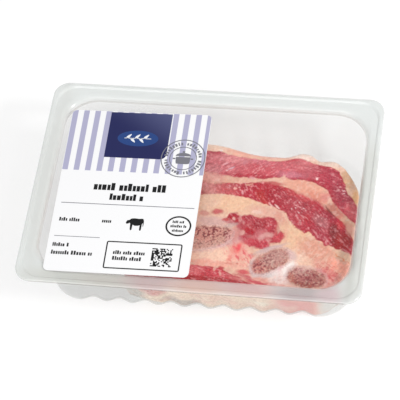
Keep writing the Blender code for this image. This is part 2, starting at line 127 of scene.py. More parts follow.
def streaks(x: Array, y: Array, degrees: float, long: float, thin: float, seed: int) -> Array:
    """Noise from about -1 to 1, drawn out into long thin strokes along one direction, as fibres are."""
    along, across = turned(x, y, -degrees)
    return fractal(along * thin / long, across, thin, seed, 3)


def circle(count: int) -> Array:
    """A unit circle as points of shape (count, 2), counter-clockwise."""
    t = np.linspace(0, 2 * math.pi, count, endpoint=False)
    return np.column_stack([np.cos(t), np.sin(t)])


def smooth_curve(points: list[Point], closed: bool = False, steps: int = 8) -> Array:
    """A Catmull-Rom curve through given points.

    Args:
        points: Places that the curve passes through.
        closed: Whether it comes back to its start.
        steps: Points drawn for each given one.

    Returns:
        Points of shape (n, 2).
    """
    given = np.array(points, float)
    count = len(given)
    if closed:
        picked = given[np.arange(-1, count + 2) % count]
    else:
        picked = np.vstack([2 * given[0] - given[1], given, 2 * given[-1] - given[-2]])
    a, b, c, d = (picked[k:k + len(picked) - 3, None] for k in range(4))
    t = (np.arange(steps) / steps)[:, None]
    curve = 0.5 * (2 * b + (c - a) * t + (2 * a - 5 * b + 4 * c - d) * t**2 + (3 * b - a - 3 * c + d) * t**3)
    curve = curve.reshape(-1, 2)
    return curve if closed else np.vstack([curve, given[-1]])


def spread(curve: Array, count: int) -> Array:
    """Gives count points at even steps of length along a curve of points."""
    length = np.concatenate(([0.0], np.cumsum(np.linalg.norm(np.diff(curve, axis=0), axis=1))))
    places = np.linspace(0.0, length[-1], count)
    return np.column_stack([np.interp(places, length, curve[:, axis]) for axis in (0, 1)])


def distance_to(line: Array, x: Array, y: Array) -> Array:
    """Distance from plan points to the nearest stretch of a line.

    Args:
        line: Points of shape (n, 2).
        x, y: Plan coordinates.

    Returns:
        One distance for each point.
    """
    nearest = np.full(x.shape, np.inf)
    for (ax, ay), (bx, by) in zip(line[:-1], line[1:]):
        step_x, step_y = bx - ax, by - ay
        share = ((x - ax) * step_x + (y - ay) * step_y) / max(step_x**2 + step_y**2, 1e-12)
        share = np.clip(share, 0, 1)
        nearest = np.minimum(nearest, (x - ax - share * step_x) ** 2 + (y - ay - share * step_y) ** 2)
    return np.sqrt(nearest)


def depth_inside(outline: Array, x: Array, y: Array) -> Array:
    """Signed distance to a closed outline: positive inside. A point is inside where a ray towards +X
    crosses the outline an odd number of times.

    Args:
        outline: Points of shape (n, 2).
        x, y: Plan coordinates.

    Returns:
        One distance for each point.
    """
    odd = np.zeros(x.shape, bool)
    for (ax, ay), (bx, by) in zip(outline, np.roll(outline, -1, axis=0)):
        if ay != by:
            spans = (ay > y) != (by > y)
            odd ^= spans & (x < ax + (y - ay) / (by - ay) * (bx - ax))
    distance = distance_to(np.vstack([outline, outline[:1]]), x, y)
    return np.where(odd, distance, -distance)


def offset_line(line: Array, distance: float, closed: bool = False) -> Array:
    """Moves a plan line, or a closed outline, to its left by a distance."""
    step = np.roll(line, -1, 0) - np.roll(line, 1, 0) if closed else np.gradient(line, axis=0)
    step = step / np.linalg.norm(step, axis=1, keepdims=True)
    return line + distance * np.column_stack([-step[:, 1], step[:, 0]])


def rounded_box(half_x: float, half_y: float, radius: float, steps: int = 10) -> Array:
    """Outline of a rectangle with round corners, counter-clockwise.

    Args:
        half_x: Half its width.
        half_y: Half its height.
        radius: Radius of its corners.
        steps: Segments in each corner.

    Returns:
        Points of shape (n, 2).
    """
    corners = []
    for quarter, (side_x, side_y) in enumerate(CORNERS):
        angle = (quarter - 1) * math.pi / 2 + np.linspace(0, math.pi / 2, steps + 1)
        corners.append(np.column_stack([side_x * (half_x - radius) + radius * np.cos(angle),
                                        side_y * (half_y - radius) + radius * np.sin(angle)]))
    return np.vstack(corners)


# Solids


@dataclass
class Solid:
    """A closed surface in millimetres: its points, and blocks of faces with the same corner count."""

    points: Array
    faces: list[Array]

    def mesh(self, name: str) -> bpy.types.Mesh:
        """Makes the Blender mesh.

        Args:
            name: Name of the mesh.

        Returns:
            The mesh, in metres.
        """
        mesh = bpy.data.meshes.new(name)
        corners = np.concatenate([block.ravel() for block in self.faces])
        totals = np.concatenate([np.full(len(block), block.shape[1]) for block in self.faces])
        mesh.vertices.add(len(self.points))
        mesh.vertices.foreach_set("co", (self.points * MM).ravel())
        mesh.loops.add(len(corners))
        mesh.loops.foreach_set("vertex_index", corners.astype(np.int32))
        mesh.polygons.add(len(totals))
        mesh.polygons.foreach_set("loop_start", (np.cumsum(totals) - totals).astype(np.int32))
        mesh.update(calc_edges=True)
        mesh.validate()
        return mesh

    @staticmethod
    def joined(solids: list["Solid"]) -> "Solid":
        """Puts several solids side by side in one."""
        starts = np.cumsum([0] + [len(solid.points) for solid in solids])
        faces = [block + start for solid, start in zip(solids, starts) for block in solid.faces]
        return Solid(np.vstack([solid.points for solid in solids]), faces)

    @staticmethod
    def from_rings(rings: Array) -> "Solid":
        """A closed surface through rings: quads between neighbours, and a fan on the first and last.

        Args:
            rings: Points of shape (rings, points in a ring, 3), turning left seen from outside the first.

        Returns:
            The solid.
        """
        count, around = rings.shape[:2]
        number = np.arange(count * around).reshape(count, around)
        after = np.roll(number, -1, axis=1)
        quads = np.stack([number[:-1], after[:-1], after[1:], number[1:]], axis=-1).reshape(-1, 4)
        middles = np.stack([rings[0].mean(axis=0), rings[-1].mean(axis=0)])
        first = np.column_stack([after[0], number[0], np.full(around, count * around)])
        last = np.column_stack([number[-1], after[-1], np.full(around, count * around + 1)])
        return Solid(np.vstack([rings.reshape(-1, 3), middles]), [quads, first, last])

    @staticmethod
    def prism(outline: Array, low: float, high: float) -> "Solid":
        """An upright prism.

        Args:
            outline: Plan points, counter-clockwise.
            low: Height of its underside.
            high: Height of its top.

        Returns:
            The solid.
        """
        count = len(outline)
        points = np.vstack([np.column_stack([outline, np.full(count, z)]) for z in (low, high)])
        k = np.arange(count)
        sides = np.column_stack([k, (k + 1) % count, count + (k + 1) % count, count + k])
        return Solid(points, [k[None, ::-1], (k + count)[None], sides])

    @staticmethod
    def band(outer: Array, inner: Array, low: float, high: float) -> "Solid":
        """An upright wall between two outlines with the same number of points.

        Args:
            outer: Outer plan points, counter-clockwise.
            inner: Inner plan points, each beside its outer one.
            low: Height of its underside.
            high: Height of its top.

        Returns:
            The solid.
        """
        count = len(outer)
        rows = [(outer, low), (outer, high), (inner, high), (inner, low)]
        points = np.vstack([np.column_stack([line, np.full(count, z)]) for line, z in rows])
        number = np.arange(4 * count).reshape(4, count)
        after = np.roll(number, -1, axis=1)
        following = np.roll(number, -1, axis=0), np.roll(after, -1, axis=0)
        quads = np.stack([number, after, following[1], following[0]], axis=-1).reshape(-1, 4)
        return Solid(points, [quads])


def places_of(mesh: bpy.types.Mesh) -> Array:
    """Points of a mesh in millimetres, of shape (n, 3)."""
    places = np.empty(len(mesh.vertices) * 3)
    mesh.vertices.foreach_get("co", places)
    return places.reshape(-1, 3) / MM


def paint_points(mesh: bpy.types.Mesh, colours: Array) -> None:
    """Stores linear colours of shape (n, 3) on the points of a mesh, where materials read them."""
    paint = mesh.attributes.new(PAINT, "FLOAT_COLOR", "POINT")
    paint.data.foreach_set("color", np.column_stack([colours, np.ones(len(colours))]).ravel())


def add_object(name: str, data: bpy.types.ID) -> bpy.types.Object:
    """Makes an object of a mesh, light or camera, and puts it in the scene."""
    item = bpy.data.objects.new(name, data)
    bpy.context.scene.collection.objects.link(item)
    return item


def add_piece(name: str, mesh: bpy.types.Mesh, finish: "Finish", nodes: tuple[str, ...] = (),
              sharp: float = 40.0) -> bpy.types.Object:
    """Puts a mesh in the scene as one piece of the pack.

    Args:
        name: Name of the piece.
        mesh: Its mesh, with its place in its points.
        finish: What it is made of.
        nodes: Solids of the frame that it stands for.
        sharp: Edges that turn by more than this many degrees stay sharp.

    Returns:
        The piece.
    """
    mesh.shade_smooth()
    mesh.set_sharp_from_angle(angle=math.radians(sharp))
    mesh.materials.clear()
    mesh.materials.append(finish.material())
    piece = add_object(name, mesh)
    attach(piece, BODY)
    if nodes:
        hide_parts(*nodes)
    log.info("%s: %d faces", name, len(mesh.polygons))
    return piece


# Finishes


def add_node(tree: bpy.types.NodeTree, kind: str, inputs: dict | None = None, **settings) -> bpy.types.Node:
    """Adds a node with its settings and links.

    Args:
        tree: Node tree that gets it.
        kind: Node type without its ShaderNode prefix.
        inputs: Value, or output socket to link, for each input by name or number.
        **settings: Properties of the node.

    Returns:
        The node.
    """
    node = tree.nodes.new("ShaderNode" + kind)
    for key, value in settings.items():
        setattr(node, key, value)
    for key, value in (inputs or {}).items():
        if isinstance(value, bpy.types.NodeSocket):
            tree.links.new(value, node.inputs[key])
        else:
            node.inputs[key].default_value = value
    return node


@dataclass(frozen=True)
class Finish:
    """A finish of one Principled shader with plain values."""

    name: str
    colour: str
    roughness: float
    ior: float = 1.5
    alpha: float = 1.0
    sockets: dict = field(default_factory=dict)

    def material(self) -> bpy.types.Material:
        """Gives the material, made at the first call.

        Returns:
            The material.
        """
        known = bpy.data.materials.get(self.name)
        if known:
            return known
        material = bpy.data.materials.new(self.name)
        material.use_nodes = True
        shader = material.node_tree.nodes["Principled BSDF"]
        values = {"Base Color": (*linear(self.colour), 1.0), "Roughness": self.roughness, "IOR": self.ior,
                  "Alpha": self.alpha, **self.sockets}
        for socket, value in values.items():
            shader.inputs[socket].default_value = value
        self.detail(material.node_tree, shader)
        return material

    def detail(self, tree: bpy.types.NodeTree, shader: bpy.types.Node) -> None:
        """Adds what varies over the surface; a plain finish has nothing to add."""


@dataclass(frozen=True)
class FrostedPlastic(Finish):
    """Thermoformed polypropylene: a fine frost that scatters light, and slow waves from the forming."""

    frost_mm: float = 0.35
    frost_bump: float = 0.02
    wave_mm: float = 9.0
    wave_bump: float = 0.12
    wave_height_mm: float = 0.4

    def detail(self, tree: bpy.types.NodeTree, shader: bpy.types.Node) -> None:
        """Adds the frost's grain and the waves as bump, and lets roughness vary a little.

        Args:
            tree: Node tree of the material.
            shader: Its Principled shader.
        """
        place = add_node(tree, "TexCoord").outputs["Object"]
        frost = add_node(tree, "TexNoise", {"Vector": place, "Scale": 1 / (self.frost_mm * MM), "Detail": 2})
        wave = add_node(tree, "TexNoise", {"Vector": place, "Scale": 1 / (self.wave_mm * MM), "Detail": 1})
        sheen = add_node(tree, "MapRange", {0: wave.outputs[0], 1: 0.3, 2: 0.7, 3: self.roughness - 0.06,
                                            4: self.roughness + 0.08})
        grain = add_node(tree, "Bump", {"Height": frost.outputs[0], "Strength": self.frost_bump,
                                        "Distance": self.frost_mm * MM / 3})
        slow = add_node(tree, "Bump", {"Height": wave.outputs[0], "Strength": self.wave_bump,
                                       "Distance": self.wave_height_mm * MM, "Normal": grain.outputs[0]})
        tree.links.new(sheen.outputs[0], shader.inputs["Roughness"])
        tree.links.new(slow.outputs[0], shader.inputs["Normal"])


@dataclass(frozen=True)
class TintAndShadePaintedPlastic(FrostedPlastic):
    """Milky sheet whose colour is painted on its points: its own, tints of what lies close behind it as they
    would show through, and painted shade.
    """

    def detail(self, tree: bpy.types.NodeTree, shader: bpy.types.Node) -> None:
        """Adds the frost and the waves, and takes the colour, with its painted see-through tints and painted
        shade, from the paint.

        Args:
            tree: Node tree of the material.
            shader: Its Principled shader.
        """
        super().detail(tree, shader)
        paint = add_node(tree, "Attribute", attribute_name=PAINT).outputs["Color"]
        tree.links.new(paint, shader.inputs["Base Color"])


@dataclass(frozen=True)
class CoatedPaper(Finish):
    """White label paper with a thin coating: nearly even, with a faint fibre mottle."""

    fibre_mm: float = 0.9

    def detail(self, tree: bpy.types.NodeTree, shader: bpy.types.Node) -> None:
        """Adds the fibre mottle as bump and as a change of roughness.

        Args:
            tree: Node tree of the material.
            shader: Its Principled shader.
        """
        place = add_node(tree, "TexCoord").outputs["Object"]
        fibre = add_node(tree, "TexNoise", {"Vector": place, "Scale": 1 / (self.fibre_mm * MM), "Detail": 3})
        bump = add_node(tree, "Bump", {"Height": fibre.outputs[0], "Strength": 0.1, "Distance": 0.05 * MM})
        mottle = add_node(tree, "MapRange", {0: fibre.outputs[0], 1: 0.3, 2: 0.7, 3: self.roughness - 0.05,
                                             4: self.roughness + 0.05})
        tree.links.new(mottle.outputs[0], shader.inputs["Roughness"])
        tree.links.new(bump.outputs[0], shader.inputs["Normal"])


@dataclass(frozen=True)
class SheenPaintedInk(CoatedPaper):
    """An ink with a painted sheen: it goes over into a second colour along a line on the pack."""

    second: str = "FFFFFF"
    start_mm: Point = (0.0, 0.0)
    end_mm: Point = (1.0, 1.0)

    def detail(self, tree: bpy.types.NodeTree, shader: bpy.types.Node) -> None:
        """Adds the paper's detail, and the painted sheen: the change of colour by the place between start and
        end.

        Args:
            tree: Node tree of the material.
            shader: Its Principled shader.
        """
        super().detail(tree, shader)
        step = np.array(self.end_mm) - np.array(self.start_mm)
        slope = step / (step @ step) / MM
        place = add_node(tree, "TexCoord").outputs["Object"]
        share = add_node(tree, "VectorMath", {0: place, 1: (*slope, 0.0)}, operation="DOT_PRODUCT")
        offset = float(np.array(self.start_mm) @ slope * MM)
        soft = add_node(tree, "MapRange", {0: share.outputs["Value"], 1: offset, 2: offset + 1},
                        interpolation_type="SMOOTHSTEP")
        mixed = add_node(tree, "Mix", {0: soft.outputs[0], 6: (*linear(self.colour), 1.0),
                                       7: (*linear(self.second), 1.0)}, data_type="RGBA")
        tree.links.new(mixed.outputs[2], shader.inputs["Base Color"])


@dataclass(frozen=True)
class MoistFlesh(Finish):
    """Cut meat, fat or bone: its colour is painted on the points, and a film of juice makes it glisten."""

    grain_mm: float = 0.7
    grain_bump: float = 0.35
    tone_change: float = 0.12

    def detail(self, tree: bpy.types.NodeTree, shader: bpy.types.Node) -> None:
        """Mixes the painted colour with a fine grain, and bumps and moistens the surface with it.

        Args:
            tree: Node tree of the material.
            shader: Its Principled shader.
        """
        place = add_node(tree, "TexCoord").outputs["Object"]
        paint = add_node(tree, "Attribute", attribute_name=PAINT).outputs["Color"]
        scale = 1 / (self.grain_mm * MM)
        grain = add_node(tree, "TexNoise", {"Vector": place, "Scale": scale, "Detail": 3})
        tone = add_node(tree, "MapRange", {0: grain.outputs[0], 1: 0.3, 2: 0.7, 3: 1 - self.tone_change,
                                           4: 1 + self.tone_change})
        mixed = add_node(tree, "VectorMath", {0: paint, 1: tone.outputs[0]}, operation="MULTIPLY")
        lumps = add_node(tree, "TexNoise", {"Vector": place, "Scale": scale / 4, "Detail": 2})
        wet = add_node(tree, "MapRange", {0: lumps.outputs[0], 1: 0.35, 2: 0.65, 3: self.roughness - 0.08,
                                          4: self.roughness + 0.12})
        bump = add_node(tree, "Bump", {"Height": grain.outputs[0], "Strength": self.grain_bump,
                                       "Distance": self.grain_mm * MM / 2})
        tree.links.new(mixed.outputs[0], shader.inputs["Base Color"])
        tree.links.new(wet.outputs[0], shader.inputs["Roughness"])
        tree.links.new(bump.outputs[0], shader.inputs["Normal"])


# Polypropylene sheet as thick as it came: milky, so that little of what lies behind it shows. Its colour is
# painted on the tray's points, with see-through tints and painted shade
RIM_POLYPROPYLENE = TintAndShadePaintedPlastic("frosted_polypropylene_rim", "EAEEEC", 0.42, 1.49, 0.58, frost_bump=0.0,
                                  wave_bump=0.04, sockets={"Coat Weight": 1.0, "Coat Roughness": 0.07,
                                                           "Coat IOR": 1.9})
# Painted shade: the same sheet, darker, in a thin line round the mouth and along the skirt's lower edge on
# the near and far sides
SHADE_LINE_POLYPROPYLENE = FrostedPlastic("frosted_polypropylene_shade_line", "AFABA2", 0.3, 1.49, 0.34)
# The same sheet where the forming has drawn it thin: what touches it shows as a soft tint
WALL_POLYPROPYLENE = FrostedPlastic("frosted_polypropylene_wall", "D6D9D6", 0.34, 1.49, 0.14)
# Painted shade: a soft grey line along the round foot, on the near side only, where the sheet is seen along
# its length
FOOT_SHADE_POLYPROPYLENE = FrostedPlastic("frosted_polypropylene_foot_shade", "C4C1B8", 0.34, 1.49, 0.22)
# Sealing film: nearly invisible, it only catches a little light
CLEAR_FILM = Finish("clear_lid_film", "FFFFFF", 0.12, 1.5, 0.012)
# Coated paper: bright white and half matt
LABEL_PAPER = CoatedPaper("coated_label_paper", "FBFBFC", 0.5)
# Lean beef: deep red wet fibres, with the sharpest gloss of the slab
LEAN_BEEF = MoistFlesh("raw_beef_lean", "B23A45", 0.26, 1.4)
# Beef fat: waxy and paler, with a broader sheen
BEEF_FAT = MoistFlesh("raw_beef_fat", "F0C6A6", 0.36, 1.45, grain_mm=0.9, grain_bump=0.25, tone_change=0.05)
# Sawn rib bone: dry and porous, nearly matt
RIB_BONE = MoistFlesh("sawn_rib_bone", "A78A86", 0.5, 1.5, grain_mm=0.9, grain_bump=0.6, tone_change=0.2)


# Tray


@dataclass(frozen=True)
class Level:
    """One level line round the tray: how far in and down it lies, its corners, its flutes, and how softly
    the section bends there."""

    inset_x: float
    inset_y: float
    drop: float
    radius_x: float
    radius_y: float
    flute: float = 0.0
    soft: float = 0.0


@dataclass(frozen=True)
class Tray:
    """Thermoformed tray: floor, fluted walls, and a sealing rim with a raised lip."""

    length: float = 260.0
    width: float = 180.0
    height: float = 60.0
    wall: float = 0.7
    rim_radius: float = 12.0
    skirt_drop: float = 2.4
    lip_width: float = 3.0
    lip_round: float = 0.6
    band_start: float = 4.0
    band_end: float = 9.2
    band_drop: float = 1.4
    shoulder: float = 10.8
    shoulder_drop: float = 2.2
    mouth_inset: float = 12.3
    mouth_drop: float = 5.2
    mouth_radius: float = 25.0
    right_shift: float = 1.5
    shift_from: float = 60.0
    shift_to: float = 110.0
    wall_top_drop: float = 7.0
    foot_inset_short: float = 14.0
    foot_inset_long: float = 18.5
    foot_radius: float = 27.0
    foot_fillet: float = 3.0
    flute_pitch: float = 20.2
    flute_depth: float = 3.1
    flutes_long: int = 10
    flutes_short: int = 5
    row_gap: float = 3.0
    bend_points: int = 5
    longest_bend: float = 0.45
    fillet_step: int = 15
    # How far the thin line of painted shade round the mouth reaches up and down
    shade_line_up: float = 0.35
    shade_line_down: float = 0.75
    edge_line: float = 1.3
    foot_line: float = 0.6
    long_points: int = 146
    short_points: int = 84
    corner_steps: int = 20

    def last_crest(self, count: int) -> float:
        """Distance of a wall's last flute crest from the wall's middle."""
        return (count - 1) / 2 * self.flute_pitch

    def flute_wave(self, along: Array, last: float) -> Array:
        """Share of the flutes' depth at distances along a wall, out to its last crests."""
        wave = (1 - np.cos(2 * math.pi * (along + last) / self.flute_pitch)) / 2
        return np.where(np.abs(along) <= last, wave, 0.0)

    def wall_share(self, drop: Array) -> Array:
        """How far down the wall a depth lies, from 0 at the mouth to 1 at the foot."""
        return (drop - self.mouth_drop) / (self.height - self.foot_fillet - self.mouth_drop)

    def rim_radius_at(self, inset: float) -> float:
        """Corner radius of the rim: it grows from the outer edge to the mouth."""
        return self.rim_radius + (self.mouth_radius - self.rim_radius) * min(inset / self.mouth_inset, 1.0)

    def rim(self, inset: float, grow: float, drop: float, soft: float) -> Level:
        """A level of the rim, where grow is how much further in this face lies than the outer one."""
        radius = self.rim_radius_at(inset) - grow
        return Level(inset + grow, inset + grow, drop, radius, radius, 0.0, soft)

    def side(self, drop: float, grow: float, soft: float = 0.0) -> Level:
        """A fluted level of the wall: insets, corners and flutes grow evenly from the mouth to the foot.

        Args:
            drop: Depth under the rim's top.
            grow: How much further in this face lies.
            soft: Length of the bend there.

        Returns:
            The level.
        """
        share = self.wall_share(drop)
        inset_x = self.mouth_inset + (self.foot_inset_short - self.mouth_inset) * share + grow
        inset_y = self.mouth_inset + (self.foot_inset_long - self.mouth_inset) * share + grow
        radius_y = self.mouth_radius + (self.foot_radius - self.mouth_radius) * share - grow
        radius_x = self.length / 2 - inset_x - self.last_crest(self.flutes_long)
        return Level(inset_x, inset_y, drop, radius_x, radius_y, self.flute_depth * share, soft)

    def foot(self, degrees: float, grow: float) -> Level:
        """A fluted level of the foot's fillet, which is a quarter of a circle in section.

        Args:
            degrees: Place on the fillet, from the wall, 0, to the floor, 90.
            grow: How much further in this face lies.

        Returns:
            The level.
        """
        angle = math.radians(degrees)
        base = self.side(self.height - self.foot_fillet, 0.0)
        reach = self.foot_fillet - grow
        inward = self.foot_fillet - reach * math.cos(angle)
        drop = self.height - self.foot_fillet + reach * math.sin(angle)
        return Level(base.inset_x + inward, base.inset_y + inward, drop, base.radius_x - inward,
                     base.radius_y - inward, base.flute)

    def section(self) -> list[Level]:
        """The section from the inside floor out over the rim and down to the underside.

        Returns:
            The levels in order.
        """
        wall, foot_drop = self.wall, self.height - self.foot_fillet
        over = ((self.mouth_inset, wall, self.mouth_drop, 1.2),
                (self.shoulder, wall, self.shoulder_drop, 1.0), (self.band_end, 0.0, self.band_drop, 0.7),
                (self.band_start, 0.0, self.band_drop, 0.4), (self.lip_width, 0.0, 0.0, 0.5),
                (self.lip_round, 0.0, 0.0, 0.4), (0.0, 0.0, self.lip_round, 0.4))
        under = ((0.0, self.skirt_drop, 0.15), (wall, self.skirt_drop, 0.15),
                 (wall + self.lip_round / 2, wall, 0.3), (self.lip_width, wall, 0.4),
                 (self.band_start, self.band_drop + wall, 0.4), (self.band_end, self.band_drop + wall, 0.5),
                 (self.shoulder, self.shoulder_drop + wall, 0.8),
                 (self.mouth_inset, self.mouth_drop + wall, 1.0))
        inside = [self.foot(a, wall) for a in range(90, 0, -self.fillet_step)]
        inside += [self.side(foot_drop, wall), self.side(self.wall_top_drop, wall, 1.0)]
        rim = [self.rim(*row) for row in over]
        rim += [self.rim(inset, 0.0, drop, soft) for inset, drop, soft in under]
        outside = [self.side(self.wall_top_drop + wall, 0.0, 1.0), self.side(foot_drop, 0.0)]
        outside += [self.foot(a, 0.0) for a in range(self.fillet_step, 91, self.fillet_step)]
        return inside + rim + outside

    def rounded(self, levels: list[Level]) -> Array:
        """Bends the section softly and splits its long stretches. Each bend is a quadratic Bezier curve.

        Args:
            levels: The section's levels.

        Returns:
            One row of level values for each ring of points, of shape (rings, 6).
        """
        values = np.array([[a.inset_x, a.inset_y, a.drop, a.radius_x, a.radius_y, a.flute] for a in levels])
        t = np.linspace(0, 1, self.bend_points)[:, None]
        bent = [values[:1]]
        for k in range(1, len(levels) - 1):
            before, here, after = values[k - 1:k + 2]
            if not levels[k].soft:
                bent.append(here[None])
                continue
            starts = []
            for other in (before, after):
                length = np.linalg.norm((other - here)[[0, 2]])
                starts.append(here + (other - here) * min(levels[k].soft / length, self.longest_bend))
            bent.append((1 - t) ** 2 * starts[0] + 2 * t * (1 - t) * here + t**2 * starts[1])
        bent = np.vstack([*bent, values[-1:]])
        rows = []
        for a, b in zip(bent, bent[1:]):
            parts = max(1, math.ceil(np.linalg.norm((b - a)[[0, 2]]) / self.row_gap))
            rows.append(a + (b - a) * (np.arange(parts) / parts)[:, None])
        return np.vstack([*rows, bent[-1:]])

    def around(self, rows: Array) -> Array:
        """Carries the section round the tray. A flute moves the wall in by its depth times
        (1 - cos(2 pi (s + last) / pitch)) / 2, where s runs along the wall between its last crests. The mouth
        moves a little to the right over the tray's right part.

        Args:
            rows: Level values of shape (rings, 6).

        Returns:
            Points of shape (rings, points in a ring, 3).
        """
        inset_x, inset_y, drop, radius_x, radius_y, flute = rows.T[:, :, None]
        half_x, half_y = self.length / 2 - inset_x, self.width / 2 - inset_y
        blocks = []
        for quarter, (side_x, side_y) in enumerate(CORNERS):
            is_long = quarter % 2 == 0
            run = half_x - radius_x if is_long else half_y - radius_y
            depth = half_y if is_long else half_x
            last = self.last_crest(self.flutes_long if is_long else self.flutes_short)
            along = run * np.linspace(-1, 1, self.long_points if is_long else self.short_points)
            out = self.flute_wave(along, last) * flute - depth
            blocks.append([(along, out), (-out, along), (-along, -out), (out, -along)][quarter])
            angle = (quarter - 1) * math.pi / 2 + np.linspace(0, math.pi / 2, self.corner_steps + 1)[1:-1]
            blocks.append((side_x * (half_x - radius_x) + radius_x * np.cos(angle),
                           side_y * (half_y - radius_y) + radius_y * np.sin(angle)))
        x = np.hstack([block[0] for block in blocks])
        y = np.hstack([block[1] for block in blocks])
        share = smooth_step(self.lip_width, self.mouth_inset, inset_x)
        x = x + self.right_shift * share * smooth_step(self.shift_from, self.shift_to, x)
        return np.stack([x, y, np.broadcast_to(self.height - drop, x.shape)], axis=-1)

    def tint(self, x: Array, y: Array) -> Array:
        """Colour of the milky rim: its own, with painted see-through tints of what lies behind it and painted
        shade.

        Args:
            x, y: Plan coordinates.

        Returns:
            Linear colours of shape (n, 3).
        """
        paint = np.tile(linear(RIM_POLYPROPYLENE.colour), (len(x), 1))
        for tint in RIM_PAINTED_TINTS_AND_SHADE:
            paint = blended(paint, np.array(linear(tint.colour)), tint.weight(x, y))
        return paint

    def build(self) -> None:
        """Builds the tray in place of its solid. Its walls and floor are of the thinner finish. Painted shade
        lies in a thin darker line round its mouth and along the skirt's lower edge on the near and far sides,
        and in a soft grey line along the foot on the near side."""
        rows = self.rounded(self.section())
        rings = self.around(rows)[::-1]
        mesh = Solid.from_rings(rings).mesh("tray_shell")
        x, y, _ = places_of(mesh).T
        paint_points(mesh, self.tint(x, y))
        piece = add_piece("tray_shell", mesh, RIM_POLYPROPYLENE, ("tray",))
        for finish in (WALL_POLYPROPYLENE, SHADE_LINE_POLYPROPYLENE, FOOT_SHADE_POLYPROPYLENE):
            piece.data.materials.append(finish.material())
        inset, drop = (rows[::-1][1:, [0, 2]] + rows[::-1][:-1, [0, 2]]).T / 2
        # Painted shade: thin darker lines round the mouth and along the skirt's lower edge, and a soft grey
        # line along the near foot
        shade_line = (drop > self.mouth_drop - self.shade_line_up) & (drop < self.mouth_drop + self.shade_line_down)
        edge = (inset < self.wall) & (drop > self.skirt_drop - self.edge_line)
        foot = (drop > self.height - self.foot_fillet) & (drop < self.height - self.foot_line)
        at = np.arange(rings.shape[1])[None]
        far_start = self.long_points + self.short_points + 2 * (self.corner_steps - 1)
        near, far = at < self.long_points - 1, (at >= far_start) & (at < far_start + self.long_points)
        number = np.where(drop > self.mouth_drop + self.shade_line_down, 1, 2 * shade_line)[:, None]
        number = np.where(edge[:, None] & (near | far), 2, np.where(foot[:, None] & near, 3, number))
        number = np.concatenate([number.ravel(), np.ones(2 * at.size, int)])
        mesh.polygons.foreach_set("material_index", number.astype(np.int32))


@dataclass(frozen=True)
class LidFilm:
    """Clear film sealed on the rim's band, with faint waves where the seal pulls it."""

    inset: float = 4.3
    low: float = 58.9
    high: float = 59.1
    wave: float = 0.04
    wave_length: float = 11.0
    flat_from: float = 0.93
    rings: int = 40
    first_ring: float = 0.02
    corner_steps: int = 16

    def build(self, tray: Tray) -> None:
        """Builds the film in place of its solid: copies of its outline, drawn in evenly to the middle.

        Args:
            tray: The tray that it is sealed on.
        """
        outline = rounded_box(tray.length / 2 - self.inset, tray.width / 2 - self.inset,
                              tray.rim_radius_at(self.inset), self.corner_steps)
        share = np.linspace(self.first_ring, 1, self.rings)[:, None, None]
        plan = outline[None] * share
        wave = self.wave * fractal(plan[..., 0], plan[..., 1], self.wave_length, 5, 2)
        wave = wave * smooth_step(1.0, self.flat_from, share[..., 0])
        under, over = (np.dstack([plan, level + wave]) for level in (self.low, self.high))
        rings = np.vstack([under, over[::-1]])
        add_piece("lid_film", Solid.from_rings(rings).mesh("lid_film"), CLEAR_FILM, ("film",))


# Label


class Ink(Enum):
    """Inks of the label's print, and how each one is named."""

    LAVENDER = "lavender"
    NAVY = "navy"
    BLUE = "blue"
    GREY = "grey"
    BLACK = "black"
    WHITE = "white"


# Printing inks: thin, half matt, as even as the paper under them
INK_GLOSS = {"Specular IOR Level": 0.3}
INK_FINISHES = {
    Ink.LAVENDER: CoatedPaper("lavender_ink", "B4B3CF", 0.5, sockets=INK_GLOSS),
    # The navy ink lightens across the block towards its far right: a painted sheen
    Ink.NAVY: SheenPaintedInk("navy_ink", "1F2458", 0.42, sockets=INK_GLOSS, second="565B84",
                        start_mm=(-52.0, 36.0), end_mm=(-28.0, 72.0)),
    Ink.BLUE: CoatedPaper("blue_ink", "254583", 0.42, sockets=INK_GLOSS),
    Ink.GREY: CoatedPaper("grey_ink", "7C7C84", 0.5, sockets=INK_GLOSS),
    Ink.BLACK: CoatedPaper("black_ink", "101012", 0.5, sockets=INK_GLOSS),
    Ink.WHITE: CoatedPaper("white_ink", "F4F6FA", 0.5),
}


